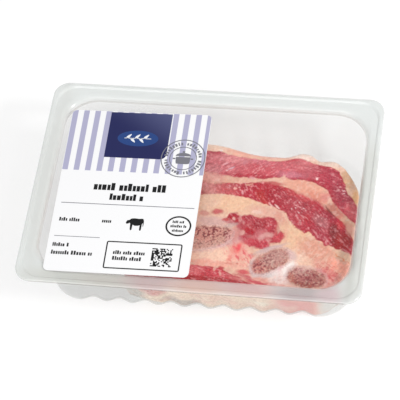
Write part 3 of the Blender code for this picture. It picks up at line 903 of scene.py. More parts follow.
@dataclass
class Label:
    """Paper label with a generic print, whose places are counted from the label's lower left corner."""

    width: float = 110.0
    length: float = 145.0
    radius: float = 4.0
    centre: Point = (-55.2, -6.9)
    turn: float = 1.2
    low: float = 59.4
    high: float = 59.6
    ink_gap: float = 0.01
    ink_thickness: float = 0.03
    stripe_pitch: float = 8.87
    stripe_width: float = 4.3
    stripe_first: float = 0.3
    stripe_foot: float = 89.6
    # Lines of words: left, foot, right, top, seed and boldness
    words: tuple = (
        (27.5, 72.6, 83.0, 79.2, 21, 0.8), (41.0, 64.1, 69.0, 69.8, 22, 0.8), (5.5, 43.6, 21.5, 46.8, 23),
        (38.5, 43.8, 45.5, 46.8, 24), (4.0, 21.3, 17.5, 24.5, 25), (4.0, 14.4, 36.5, 17.9, 26),
        (92.2, 46.4, 101.8, 48.6, 27), (91.0, 42.6, 103.0, 45.0, 28), (92.6, 38.8, 101.4, 41.0, 29),
        (51.0, 17.0, 75.5, 20.2, 11), (51.0, 11.9, 73.0, 15.2, 12),
    )
    # Rules between the lines: left, foot, right and top
    rules: tuple = ((4.5, 59.6, 107.0, 60.2), (4.0, 30.1, 39.0, 30.6))
    prints: dict = field(default_factory=dict)

    def placed(self, solid: Solid) -> Solid:
        """Turns and moves a solid from the label's own place to its place on the pack."""
        plan = solid.points[:, :2] - (self.width / 2, self.length / 2)
        solid.points[:, :2] = np.column_stack(turned(*plan.T, self.turn)) + self.centre
        return solid

    def add(self, ink: Ink, outline: Array, hole: Array | None = None, layer: int = 0) -> None:
        """Prints one shape.

        Args:
            ink: Its ink.
            outline: Its outline, counter-clockwise.
            hole: Inner outline with as many points, for a line that closes on itself.
            layer: How many inks lie under it.
        """
        low = self.high + self.ink_gap + layer * (self.ink_thickness + self.ink_gap)
        high = low + self.ink_thickness
        shape = Solid.prism(outline, low, high) if hole is None else Solid.band(outline, hole, low, high)
        self.prints.setdefault(ink, []).append(shape)

    def add_bar(self, ink: Ink, left: float, low: float, right: float, high: float, layer: int = 0) -> None:
        """Prints a plain bar between its left and right ends and its lower and upper edges."""
        self.add(ink, np.array([(left, low), (right, low), (right, high), (left, high)]), layer=layer)

    def add_words(self, left: float, low: float, right: float, high: float, seed: int,
                  bold: float = 0.72) -> None:
        """Prints a line of small plain blocks in the place of a line of words.

        Args:
            left: Where the line starts.
            low: Its foot.
            right: Where it ends.
            high: Its full height.
            seed: Picks the lengths of the blocks.
            bold: Share of each block's step that is inked.
        """
        rng = np.random.default_rng(seed)
        height, blocks_in_word, letter_steps = high - low, (4, 9), (0.42, 0.62)
        tall_share, small_height, word_gap, shortest = 0.35, 0.74, 0.4, 0.3
        at, left_in_word = left, rng.integers(*blocks_in_word)
        while at < right - shortest * height:
            step = height * rng.uniform(*letter_steps)
            top = low + height * (1.0 if rng.random() < tall_share else small_height)
            self.add_bar(Ink.BLACK, at, low, min(at + step * bold, right), top)
            at += step
            left_in_word -= 1
            if left_in_word == 0:
                at += height * word_gap
                left_in_word = rng.integers(*blocks_in_word)

    def add_ring(self, ink: Ink, middle: Point, radius: Point, line: float, layer: int = 0) -> None:
        """Prints a ring from its middle, its outer half width and half height, and its thickness."""
        around, outer = circle(72), np.array(radius)
        self.add(ink, around * outer + middle, around * (outer - line) + middle, layer)

    def print_stripes(self) -> None:
        """Prints the lavender stripes down from the label's top edge, the outer ones cut by its corners."""
        top, side = self.length - 0.2, self.width - 0.3
        for left in np.arange(self.stripe_first, self.width, self.stripe_pitch):
            right = min(left + self.stripe_width, side)
            x = np.linspace(left, right, 9)
            corner = np.maximum(self.radius - np.minimum(x, self.width - x), 0.0)
            drop = self.radius - np.sqrt(np.maximum(self.radius**2 - corner**2, 0.0))
            upper = np.column_stack([x, top - drop])[::-1]
            self.add(Ink.LAVENDER, np.vstack([(left, self.stripe_foot), (right, self.stripe_foot), upper]))

    def print_block(self) -> None:
        """Prints the navy block with one round corner, and a plain oval with a sprig of leaves in it."""
        left, right, low, high, radius = 31.0, 79.3, 102.4, self.length - 0.8, 5.0
        angle = np.linspace(-math.pi / 2, 0, 9)
        corner = np.column_stack([np.cos(angle), np.sin(angle)]) * radius + (right - radius, low + radius)
        self.add(Ink.NAVY, np.vstack([(left, low), corner, (right, high), (left, high)]), layer=1)
        around, middle, leaf_tilt, leaf_pitch = circle(48), (55.0, 120.6), 48, 3.4
        self.add(Ink.BLUE, around * (16.0, 7.2) + middle, layer=2)
        cos, sin = around.T
        for k, side in enumerate((1, -1, 1, -1, 1)):
            leaf = np.column_stack(turned(2.6 * cos, 0.95 * sin * (1 - 0.5 * cos), side * leaf_tilt))
            self.add(Ink.WHITE, leaf + (48.0 + leaf_pitch * k, middle[1] + side * 1.9), layer=3)
        self.add_bar(Ink.WHITE, 44.5, 120.35, 65.5, 120.85, layer=3)

    def print_stamp(self) -> None:
        """Prints the round stamp: two rings, dashes between them, and a soup pot in the middle."""
        middle = np.array([92.5, 104.2])
        for radius, line in ((17.2, 0.75), (10.6, 0.6)):
            self.add_ring(Ink.GREY, tuple(middle), (radius, radius), line, 2)
        rng, near = np.random.default_rng(31), 12.1
        for degrees in range(0, 360, 10):
            if degrees % 90 == 0:
                continue
            half = 0.65 * rng.uniform(0.7, 1.3)
            far = near + rng.uniform(2.0, 3.2)
            dash = np.array([(near, -half), (far, -half), (far, half), (near, half)])
            self.add(Ink.GREY, np.column_stack(turned(*dash.T, degrees)) + middle, layer=2)
        bowl = smooth_curve([(-5.6, 1.2), (-5.3, -3.6), (-4.0, -5.0), (4.0, -5.0), (5.3, -3.6), (5.6, 1.2)])
        lid = circle(32)[:17] * (6.0, 3.0) + (0.0, 2.0)
        for shape in (bowl, lid):
            self.add(Ink.GREY, shape + middle, layer=2)
        for left, low, right, high in ((-0.9, 5.2, 0.9, 6.6), (-7.9, -1.0, -5.9, 0.2), (5.9, -1.0, 7.9, 0.2)):
            self.add_bar(Ink.GREY, middle[0] + left, middle[1] + low, middle[0] + right, middle[1] + high, 2)

    def print_cow(self) -> None:
        """Prints a small plain cow, seen from the side with its head down."""
        outline = [(0.2, 7.6), (1.0, 8.6), (2.2, 8.7), (3.4, 9.9), (6.0, 10.4), (9.4, 10.1), (12.0, 10.3),
                   (13.0, 9.6), (13.5, 7.2), (13.3, 3.6), (12.9, 3.7), (12.8, 6.2), (12.2, 5.2), (12.0, 0.3),
                   (10.7, 0.3), (10.6, 4.4), (9.6, 4.0), (6.6, 3.9), (5.2, 4.5), (4.9, 0.3), (3.6, 0.3),
                   (3.3, 4.6), (2.9, 6.2), (1.7, 5.6), (0.4, 5.4), (-0.2, 6.2)]
        curve = smooth_curve(outline, closed=True, steps=3)[::-1]
        self.add(Ink.BLACK, curve + (57.0, 38.4))

    def print_code(self) -> None:
        """Prints the frame at the foot, and in it a square of seeded black cells."""
        half_x, half_y, radius, line, middle = 28.75, 11.85, 1.5, 1.0, (73.75, 16.25)
        outer, inner = (rounded_box(half_x - cut, half_y - cut, radius - cut, 5) for cut in (0.0, line))
        self.add(Ink.BLACK, outer + middle, inner + middle)
        cells, cell, first_left, foot = 16, 0.98, 80.2, 8.0
        dark = np.random.default_rng(8).random((cells, cells)) < 0.52
        for column in range(cells):
            edges = np.flatnonzero(np.diff(np.concatenate(([0], dark[column].astype(int), [0]))))
            for start, end in zip(edges[::2], edges[1::2]):
                left = first_left + column * cell
                self.add_bar(Ink.BLACK, left, foot + start * cell, left + cell, foot + end * cell)

    def print_text(self) -> None:
        """Prints the lines of words, the rules between them, and the ring round three of the lines."""
        for line in self.words:
            self.add_words(*line)
        for rule in self.rules:
            self.add_bar(Ink.GREY, *rule)
        self.add_ring(Ink.BLACK, (97.0, 43.8), (9.8, 8.8), 1.3)

    def build(self) -> None:
        """Builds the paper in place of its solid, and one piece of print for each ink."""
        outline = rounded_box(self.width / 2, self.length / 2, self.radius, 12)
        outline = outline + (self.width / 2, self.length / 2)
        paper = self.placed(Solid.prism(outline, self.low, self.high))
        add_piece("label_paper", paper.mesh("label_paper"), LABEL_PAPER, ("label",))
        self.print_stripes()
        self.print_block()
        self.print_stamp()
        self.print_text()
        self.print_cow()
        self.print_code()
        for ink, shapes in self.prints.items():
            solid = self.placed(Solid.joined(shapes))
            name = f"label_print_{ink.value}"
            add_piece(name, solid.mesh(name), INK_FINISHES[ink])


# Meat


@dataclass(frozen=True)
class Groove:
    """A dent of the cut face: an ellipse whose depth falls off as exp(-2 r squared)."""

    middle: Point
    half_long: float
    half_wide: float
    degrees: float
    depth: float

    def radius(self, x: Array, y: Array) -> Array:
        """Distance of plan points from the middle, where 1 is on the ellipse."""
        along, across = turned(x - self.middle[0], y - self.middle[1], -self.degrees)
        return np.hypot(along / self.half_long, across / self.half_wide)


@dataclass(frozen=True)
class Patch(Groove):
    """A soft spot of colour; its depth is how strong the colour is. With a streak direction it shows only
    as short fibres that run that way."""

    colour: str = "FFFFFF"
    fade: float = 0.45
    streak: float | None = None

    def weight(self, x: Array, y: Array) -> Array:
        """How much of the colour each point takes: all inside, none outside, and a soft edge between.

        Args:
            x, y: Plan coordinates.

        Returns:
            Numbers from 0 to 1.
        """
        weight = self.depth * smooth_step(1 + self.fade, 1 - self.fade, self.radius(x, y))
        if self.streak is not None:
            weight = weight * smooth_step(0.1, 0.55, streaks(x, y, self.streak, 4.5, 0.75, 61))
        return weight


def patches(*rows: tuple) -> list[Patch]:
    """Patches from rows of x, y, half length, half width, degrees, strength, colour, fade and streak."""
    return [Patch(row[:2], *row[2:]) for row in rows]


def blended(first: Array, second: Array, share: Array) -> Array:
    """Goes over from one paint, or colour, to a second one by each point's share of the second."""
    return first * (1 - share[:, None]) + second * share[:, None]


# Painted on the rim: see-through tints of the meat and the walls behind it, and grey painted shade, from the
# left along the near side, then up the right side
RIM_PAINTED_TINTS_AND_SHADE = patches(
    (-120, 0, 8, 90, 0, 0.8, "E0E2DE"), (-94, -84, 28, 8, 0, 0.9, "D8D9D2", 0.6),
    (-56, -84, 24, 8, 0, 0.9, "D2CDC4", 0.6), (-26, -84, 20, 8, 0, 0.9, "D6BFBE", 0.6),
    (11, -84, 22, 8, 0, 0.9, "E7C4B7", 0.6), (48, -84, 20, 8, 0, 0.9, "E2BEBA", 0.6),
    (85, -84, 18, 8, 0, 0.9, "BAB0B2", 0.6), (107, -84, 10, 8, 0, 0.9, "DCC4C8", 0.6),
    (121, -80, 8, 9, 0, 0.8, "DADAD6", 0.6), (124, -16, 9, 66, 0, 0.9, "DEE0DA", 0.2),
    (119.5, -16, 3.0, 62, 0, 0.85, "D2D1CA", 0.5), (122.5, -42, 2.0, 24, 0, 0.75, "C8C7C1", 0.3),
)


class Tissue(Enum):
    """Kinds of tissue in the slab."""

    FAT = "fat"
    LEAN = "lean"
    BONE = "bone"


TISSUE_FINISHES = {Tissue.FAT: BEEF_FAT, Tissue.LEAN: LEAN_BEEF, Tissue.BONE: RIB_BONE}


@dataclass(frozen=True)
class Part:
    """One solid of the slab: the seams over and under it, or its own outline."""

    node: str
    tissue: Tissue
    upper: list[Point] = field(default_factory=list)
    lower: list[Point] = field(default_factory=list)
    outline: list[Point] = field(default_factory=list)


@dataclass(frozen=True)
class RibBone:
    """A sawn rib: an ellipse with flatter sides, a dense rim, and a porous core."""

    node: str
    middle: Point
    half_long: float
    half_wide: float
    degrees: float
    rim: float
    squareness: float = 0.85

    def outline(self, grow: float, count: int = 120) -> Array:
        """Outline of the section: cos and sin raised to the squareness, keeping their signs.

        Args:
            grow: How far the outline is moved out.
            count: How many points it has.

        Returns:
            Points of shape (count, 2), counter-clockwise.
        """
        around = circle(count)
        around = np.sign(around) * np.abs(around) ** self.squareness
        along, across = (around * (self.half_long + grow, self.half_wide + grow)).T
        return np.column_stack(turned(along, across, self.degrees)) + self.middle


CUT_LEFT, CUT_RIGHT = -64.0, 126.0
FAR_LIMIT = [(CUT_LEFT, 70.0), (CUT_RIGHT, 70.0)]
NEAR_LIMIT = [(CUT_LEFT, -100.0), (CUT_RIGHT, -100.0)]
SEAM_RIM = [(-64, 42), (-30, 43.5), (-4, 44), (9, 43), (27, 40), (45, 38), (59, 38.5), (69, 41.5),
            (80, 37.5), (90, 35.5), (99, 33), (104, 24), (109, 13), (116, 3), (126, -9)]
SEAM_OUTER = [(-64, 25), (-30, 25), (0, 24), (16, 22), (30, 21), (48, 22), (58, 24), (68, 22),
              (80, 21), (89, 17), (94, 13), (98, 5), (107, -5), (117, -13), (126, -19)]
SEAM_MIDDLE = [(-64, 18), (-30, 17), (-3, 16), (10, 15), (28, 16), (42, 17), (55, 17), (65, 13),
               (77, 9), (88, 4), (97, -4), (107, -13), (117, -26), (126, -33)]
SEAM_INNER = [(-64, 2), (-30, 3), (-2, 4), (15, 4.5), (31, 4), (41, 0), (53, -3), (64, -10),
              (73, -20), (86, -26.5), (98, -34), (110, -38), (126, -43)]
SEAM_LOWER = [(-64, -50), (-30, -55), (-1, -58), (12, -59), (22, -60), (30, -65), (41, -69.5),
              (52, -74), (62, -80), (70, -90), (126, -90)]
EYE_OUTLINE = [(19, -16), (25, -11.5), (33, -14), (43, -13.5), (54, -12), (61, -17.5), (64.5, -27),
               (58, -35), (49, -39.5), (39, -36.5), (34, -31), (31, -24), (25, -18.5)]
PARTS = [
    Part("meat_fat_rim", Tissue.FAT, FAR_LIMIT, SEAM_RIM),
    Part("meat_lean_outer", Tissue.LEAN, SEAM_RIM, SEAM_OUTER),
    Part("meat_fat_seam", Tissue.FAT, SEAM_OUTER, SEAM_MIDDLE),
    Part("meat_lean_middle", Tissue.LEAN, SEAM_MIDDLE, SEAM_INNER),
    Part("meat_fat_body", Tissue.FAT, SEAM_INNER, SEAM_LOWER),
    Part("meat_lean_lower", Tissue.LEAN, SEAM_LOWER, NEAR_LIMIT),
    Part("meat_lean_eye", Tissue.LEAN, outline=EYE_OUTLINE),
]
BONES = [
    RibBone("bone_left", (3.5, -34.0), 25.0, 12.0, 12.0, 2.6),
    RibBone("bone_middle", (57.5, -51.0), 17.5, 10.5, 33.0, 2.6),
    RibBone("bone_right", (86.0, -63.0), 15.5, 9.3, -9.0, 1.0),
]


# What shows as lean meat in and round the eye: its lobed body, and a small island beside it
EYE_SHAPES = [
    [(31, -15), (34.5, -13.4), (38, -13), (42, -14.4), (46, -14), (50, -12.8), (54.5, -14), (58, -16.5),
     (59.8, -20), (59, -24), (61.5, -24.8), (64, -26.5), (65, -30), (63, -34), (59, -35.3), (55.5, -35.5),
     (54.5, -38), (52, -40.5), (48.5, -41.5), (44.5, -38.8), (40, -38.5), (36.5, -37), (34, -34.5),
     (31.5, -32), (32.5, -30), (35.2, -29), (34.5, -26.5), (31.5, -26), (29, -23), (29.5, -19)],
    [(16.5, -17.5), (20, -15.6), (21.5, -12.6), (25, -11.5), (28.5, -12.5), (30.5, -15), (31.5, -19),
     (29.5, -21.5), (26, -20.5), (22, -20.6), (19, -19.2)],
]


def lean_outlines() -> list[Array]:
    """Outlines of the lean meat on the cut face."""
    outlines = [smooth_curve(shape, closed=True) for shape in EYE_SHAPES]
    for part in PARTS:
        if part.tissue is Tissue.LEAN and part.upper:
            outlines.append(np.vstack([smooth_curve(part.lower), smooth_curve(part.upper)[::-1]]))
    return outlines


# Colours of the fat, laid over its base colour in this order, with a thin line of painted shade under a fold
FAT_PATCHES = patches(
    (4, 47, 14, 4.6, 0, 0.9, "FFDEC8"), (7, 44, 1.3, 1.2, 0, 0.9, "FFF2EC"),
    (30, 43, 18, 3.4, -6, 0.9, "F8B6A4"), (50, 42, 14, 3, 0, 0.9, "F6C0B0"),
    (72, 43, 10, 4, 0, 0.9, "FCE4D8"), (92, 38, 10, 3.5, 0, 0.9, "F2D6C6"),
    (108, 26, 7, 12, -28, 0.9, "D9AD8A"), (116, 12, 4, 9, -10, 0.9, "ECB684"),
    (4, 20, 12, 5, 0, 0.9, "ECAAA0"), (20, 19, 9, 4, 0, 0.8, "E6B19A"), (42, 19, 14, 4, 0, 0.8, "E7B5A2"),
    (76, 16, 18, 7, -18, 0.9, "EEAA94"), (86, 8, 9, 3.4, -32, 0.8, "E2907C"),
    (93, 9, 4, 5, -50, 0.9, "E2928A"), (102, -4, 4.4, 10, 42, 0.9, "C2766A"),
    (112, -13, 6, 4, -40, 0.9, "DDAC92"), (114, -20, 5, 5, 0, 0.9, "E6AC98"),
    (20, -3, 34, 7, 0, 0.9, "F5C8A6"), (4, -3, 9, 6, 0, 0.8, "FAD2BA"), (49, -8, 14, 5, -10, 0.9, "ECB8A6"),
    (42, -9.5, 4, 1.6, 0, 0.6, "F8D4C6"), (62, -14, 3, 9, 40, 0.8, "DE9E8E"),
    (44, -26, 17, 12, 0, 0.8, "DE9C92"), (72, -28, 13, 13, -40, 0.9, "F2C6A4"),
    (93, -41, 18, 9, -30, 0.9, "E09E8A"), (109, -52, 9, 7, -30, 0.9, "F8A692"),
    (96, -51, 7, 5, -20, 0.7, "E6A898"), (103, -58.5, 9, 4.2, -20, 0.9, "DC7A78"),
    (95, -54, 4, 1.6, -40, 0.7, "DC7C74"), (80, -47, 6, 3, 0, 0.7, "F8D2BC"),
    # The thin orange line at (110, -43.6) is painted shade where a flap of fat folds over
    (110, -41, 7, 3.6, -36, 0.95, "DFB69C"), (110, -43.6, 7.5, 0.6, -37, 0.9, "D88462"),
    (14, -49, 20, 8, 0, 0.95, "FFD4BC"), (14, -56, 20, 3, 0, 0.8, "F8AE9E"),
    (36, -52, 8, 9, 0, 0.7, "F8BAA8"), (65, -63, 8, 9, 20, 0.95, "F3DAD4"),
    (50, -66, 10, 5, -20, 0.8, "E8A498"), (62, -72, 14, 3, 0, 0.8, "E8A8A0"),
    (67, -57, 4, 0.8, 55, 0.8, "DC8C94"), (73, -56, 4.2, 7, -15, 0.95, "FFF6F0"),
    (104, -66, 6, 5, 30, 0.8, "F0A8A0"),
)
# Colours of the lean meat
LEAN_PATCHES = patches(
    (8, 32, 22, 10, 0, 0.85, "DC8086"), (3, 26, 7, 5, 0, 0.7, "D68A8E"),
    (26, 37.5, 22, 4.0, -4, 0.8, "E89496"), (38, 29, 16, 7, 0, 0.8, "D4666E"),
    (44, 36, 12, 2.5, 0, 0.7, "DC7A84"), (64, 26.5, 12, 3.4, -4, 0.85, "D88692"),
    (70, 35, 14, 5, 0, 0.8, "DC7E82"), (56, 33, 12, 5, 0, 0.8, "D87078"), (80, 29, 8, 5, 0, 0.8, "CC6E76"),
    (30, 23, 22, 0.9, -2, 0.5, "B83C48"), (90, 27, 10, 8, -20, 0.8, "BE4C5A"),
    (98, 22, 6, 12, 25, 0.6, "B24856"), (106, 8, 6, 13, 25, 0.8, "A84A56"),
    (113, -3, 4.5, 8, 10, 0.85, "D4646A"), (100, 4, 3, 12, 33, 0.6, "B84A52"),
    (4, 10, 8, 8, 0, 0.9, "E09A94"), (17, 10, 12, 6, -8, 0.8, "CE686A"), (34, 9, 10, 7, 0, 0.8, "BE3A47"),
    (45, 4, 4, 8, 35, 0.8, "C0403E"), (48, 10, 2.2, 7, 30, 0.7, "A62E3C"),
    (50, 14, 10, 5, -8, 0.8, "C03C46"), (58, 5, 11, 8, -30, 0.8, "B03642"),
    (72, 0, 17, 9, -35, 0.7, "B85058"), (72, 9, 16, 3.2, -25, 0.8, "D05458"),
    (74, -14, 9, 4, -40, 0.7, "C4525A"), (80, -12, 4, 3, -40, 0.7, "BE3440"),
    (91.5, -14, 8, 4.6, -48, 0.85, "B66C70"), (97, -8, 6, 4, -48, 0.6, "A03C48"),
    (92, -24, 7, 4, -40, 0.7, "AC4A54"), (103, -25, 4.2, 11, 12, 0.85, "822438"),
    (111, -29, 7, 9, -30, 0.9, "AA2236"), (107, -15, 4, 4, -30, 0.9, "C23A42"),
    (96, -1, 4, 3, -45, 0.7, "A02C36"), (42, -24, 15, 10, 0, 0.75, "C04E56"),
    (61, -30, 4, 5, 0, 0.9, "CE525A"), (50, -18, 6, 4, 0, 0.7, "C8545A"),
    (46, -36.5, 11, 4, -12, 0.9, "CC505A"), (25, -16, 6, 4, 0, 0.85, "B63840"),
    (39, -26, 4, 3.4, 0, 0.8, "B82F3C"), (46, -20, 5, 4, 0, 0.7, "A83440"),
    (14, -65, 26, 6, 0, 0.85, "D6525A"), (2, -62, 7, 5, 0, 0.7, "E8787C"),
    (10, -70, 40, 1.8, 0, 0.7, "AA2634"),
)
# Spots, smears and rims that lie over both, and a dark line of painted shade in a crevice
OVER_PATCHES = patches(
    (12, -11, 4.4, 2.2, 0, 0.85, "C8525C"), (2, -13, 4, 2.2, 0, 0.5, "CC7078"),
    (9, -19, 14, 3.6, 0, 0.75, "DCB2AE"), (24, -22, 6, 1.8, 20, 0.6, "CDB2AE"),
    (19.5, -17.6, 2.6, 1.4, 0, 0.7, "CE4244"), (25.8, -16, 0.8, 1.5, 15, 0.8, "F2C0B6"),
    (30, -16, 1.3, 3.0, 10, 0.6, "E0A09C"), (33.2, -19, 0.8, 1.8, 20, 0.6, "EBAAA6"),
    (39, -27, 3.4, 3.2, 0, 0.75, "BA3643"), (33.6, -27.6, 1.4, 2.4, -10, 0.75, "EAB0A8"),
    (30.5, -28, 2.2, 6, 0, 0.7, "CC7E7E", 0.8), (37.5, -20.5, 2.4, 0.9, 10, 0.35, "DC9A96", 0.7),
    (41, -31, 4.5, 1.6, -10, 0.5, "D68C8C", 0.8), (47.5, -28, 3.4, 3.4, 10, 0.55, "D88A8C", 0.7),
    (53.4, -28.8, 4.2, 2.4, 14, 0.85, "E2A8A2", 0.6), (54, -33, 2.4, 1.2, 0, 0.6, "DE9E98", 0.7),
    (48.6, -31.4, 2.2, 2.4, 0, 0.8, "E2A8A4", 0.6), (59.8, -23, 1.0, 3.4, 10, 0.8, "E8C0B0"),
    (66, -28, 1.8, 7, 0, 0.4, "EFA090", 0.8), (48, -38, 7, 1.4, -6, 0.5, "C24450"),
    (21, -37, 12, 4, 14, 0.7, "DDAEB0"), (32.5, -43, 6.5, 8, -20, 0.5, "F5928E"),
    (29.5, -43, 3.4, 3.4, 0, 0.6, "F58E84", 0.8), (32.2, -41, 1.8, 3.6, -12, 0.85, "F04C58", 0.8),
    (34, -47, 12, 9, -30, 0.85, "E8626A", 0.6, -50.0), (27, -51, 1.6, 2.8, -20, 0.6, "EE706C", 0.7),
    (42, -47.5, 2.8, 1.0, -45, 0.6, "F08088", 0.7), (33, -55, 1.0, 0.9, 0, 0.7, "CC6C60"),
    (27, -55, 4, 0.6, -12, 0.6, "DC8478"), (17, -39.6, 0.9, 1.3, 0, 0.8, "BC5668"),
    (38.5, -61.8, 5.2, 2.2, -4, 0.9, "DC5E64"), (17.4, -60.6, 1.0, 2.4, -10, 0.85, "EEB4A6"),
    (27, -61, 1.6, 1.6, -30, 0.7, "E8A49A"), (22, -59.6, 2.3, 1.5, 0, 0.9, "C5424C"),
    (37, -67, 8, 2.4, -10, 0.7, "DC8884", 0.8), (41, -66.5, 11, 4, -20, 0.6, "CC5A62", 0.5, -22.0),
    (50, -69, 12, 2.4, -8, 0.8, "D4686E", 0.5, -12.0), (103, -58, 12, 8, -30, 0.85, "D05E60", 0.5, -32.0),
    (94, -48, 16, 9, -25, 0.45, "F4CCB6", 0.6, 65.0), (64, -60, 5, 3, 30, 0.6, "F6E4E0", 0.7),
    (72.5, -56.5, 3.4, 6, -15, 0.95, "FCF0EA", 0.7), (33, -65.6, 5, 0.5, -20, 0.7, "C04450"),
    (42, -66, 5.5, 1.0, -22, 0.5, "C65462"), (50, -69.4, 8, 1.2, -8, 0.8, "CC4A58"),
    (21.5, -64.5, 0.9, 2.4, 25, 0.9, "F0B4A8"), (45.6, -57, 2.6, 7, 5, 0.75, "D9C9CA"),
    (54, -63, 8, 2.2, 8, 0.8, "DDD2D0"), (56, -40.5, 12, 2.0, 24, 0.7, "CFB4B6"),
    (72, -44, 6, 3.4, -40, 0.7, "DDBFBF"), (27.5, -30, 2.2, 6, 8, 0.8, "DC948E"),
    # The dark line at (97, -4) is painted shade in the crevice between the fat and the lean meat
    (9, -44, 12, 2.0, 12, 0.45, "DDB4B2"), (97, -4, 6.5, 0.8, -52, 0.8, "7C2E34"),
    (108, -15.5, 3.0, 3.2, -30, 0.6, "C44A4E", 0.7), (113.6, -18.5, 2.4, 4.6, 0, 0.8, "DC9C8C"),
    (50, 17.4, 9, 1.7, 2, 0.8, "C24A50"), (59, -22, 1.6, 5, 0, 0.5, "CC7068"),
    (26, 16, 1.5, 1.2, -20, 0.9, "F6BCAC"), (22.6, 10.4, 1.0, 1.0, 0, 0.95, "FAB8AE"),
    (25.6, 11.8, 1.0, 0.8, 0, 0.9, "F4AEA6"), (28.8, 7.2, 1.1, 1.7, 0, 0.9, "EBA8AC"),
    (33, 15, 3.4, 0.9, 12, 0.8, "E0A490"), (35.6, 13.2, 1.0, 0.9, 0, 0.9, "EE9898"),
    (43, 17, 1.0, 0.8, 0, 0.8, "F0A4A4"), (58.3, 23.6, 0.9, 2.2, -8, 0.95, "F0BCAA"),
    (84, 23.2, 0.9, 0.9, 0, 0.95, "FFDCD8"), (93.3, 34, 0.8, 0.8, 0, 0.9, "F49494"),
    (53, 1.4, 1.0, 0.7, -20, 0.9, "F6A4A8"), (52, -1.6, 2.4, 0.7, -38, 0.9, "F8C4BC"),
    (57, -3, 2.6, 0.7, -38, 0.9, "F8CEC6"), (34.5, 20.8, 2.4, 0.9, 0, 0.8, "E6A8AC"),
    (12, 32.6, 2.6, 0.6, 20, 0.8, "F2B4BA"), (17, 28.6, 3.0, 0.7, 24, 0.8, "E0BCC4"),
    (13.6, 26.6, 0.9, 0.6, 20, 0.9, "FFD8D8"), (8, 36.6, 2.4, 0.7, 55, 0.7, "EFA4AC"),
    (24.5, 37.2, 1.0, 0.8, 0, 0.8, "F29CA8"), (27, 34.4, 1.6, 2.4, -30, 0.6, "DC9098"),
    (34, 37.5, 1.8, 1.4, 0, 0.6, "E88C98"),
)
# Where pale flecks and painted glints crowd in the lean meat; the colour isn't used
BUSY_PATCHES = patches(
    (5, 34, 13, 7, 0, 0.8), (38, 28, 5, 6, 0, 0.5), (28, 10, 14, 5, 0, 0.45), (67, 2, 14, 5, -35, 0.8),
    (78, -10, 18, 9, -40, 0.4), (93, -11, 8, 5, -50, 1.0), (103, 13, 3.5, 9, 20, 1.0),
    (99, -30, 9, 4, -30, 0.6), (44, -24, 16, 10, 0, 0.12), (12, -65, 22, 5, 0, 0.4),
)
# Colours of the bones' cores
BONE_PATCHES = patches(
    (8, -33, 18, 12, 12, 0.95, "CE9084"), (18, -35, 6, 5, 12, 0.6, "CE9E8E"),
    (6, -28, 11, 6, 0, 0.5, "CA8A80"), (24, -33, 4, 6, 0, 0.6, "D09A98"), (6, -40, 12, 4, 8, 0.7, "D4A498"),
    (50, -56, 6, 6, 20, 0.9, "CA7E76"), (61, -48, 10, 6, 30, 0.9, "C09088"),
    (84, -54, 6, 3.4, 0, 0.9, "CC9C98"), (88, -62, 9, 5, -8, 0.9, "A86462"),
    (80, -59, 5, 3, 0, 0.7, "C4948C"), (74, -65, 4, 4, 0, 0.9, "B87064"), (84, -69, 11, 3, 0, 0.8, "985048"),
    (95, -65, 5, 5, 10, 0.8, "AC6E66"),
)
# Where the bones' pores are wide and dark; the colour isn't used
PORE_PATCHES = patches(
    (6, -28, 13, 7, 5, 1.0), (22, -28, 5, 4, 0, 0.7), (50, -56, 6, 6, 20, 0.65), (88, -63, 12, 6, -8, 0.5),
)
# Colours of the side that leans on the near wall: places along it and over the table. The grey patches at the
# left end, low in the middle and at the right end are painted shade
SIDE_PATCHES = patches(
    (0, 40, 60, 9, 0, 0.9, "EFAC80"), (82, 40, 24, 9, 0, 0.9, "BC8284"), (-42, 38, 14, 10, 0, 0.8, "C48A84"),
    (-50, 20, 10, 40, 0, 0.95, "CBC7C0"), (-31, 26, 10, 11, 0, 0.9, "D88886"),
    (-27, 12, 8, 6, 0, 0.75, "FFEBD2"), (-10, 6, 16, 6, -14, 0.75, "B5A9A2"),
    (44, 8, 24, 5, 0, 0.5, "F4D4C4"), (52, 16, 7, 3, -25, 0.8, "FFF3E2"),
    (78, 20, 17, 40, 0, 0.85, "F0A09E"), (70, 10, 8, 5, 0, 0.6, "FBD9CC"),
    (107, 20, 12, 40, 0, 0.95, "DEDAD6"), (116, 20, 2.5, 40, 0, 0.8, "C4C2BC"),
)


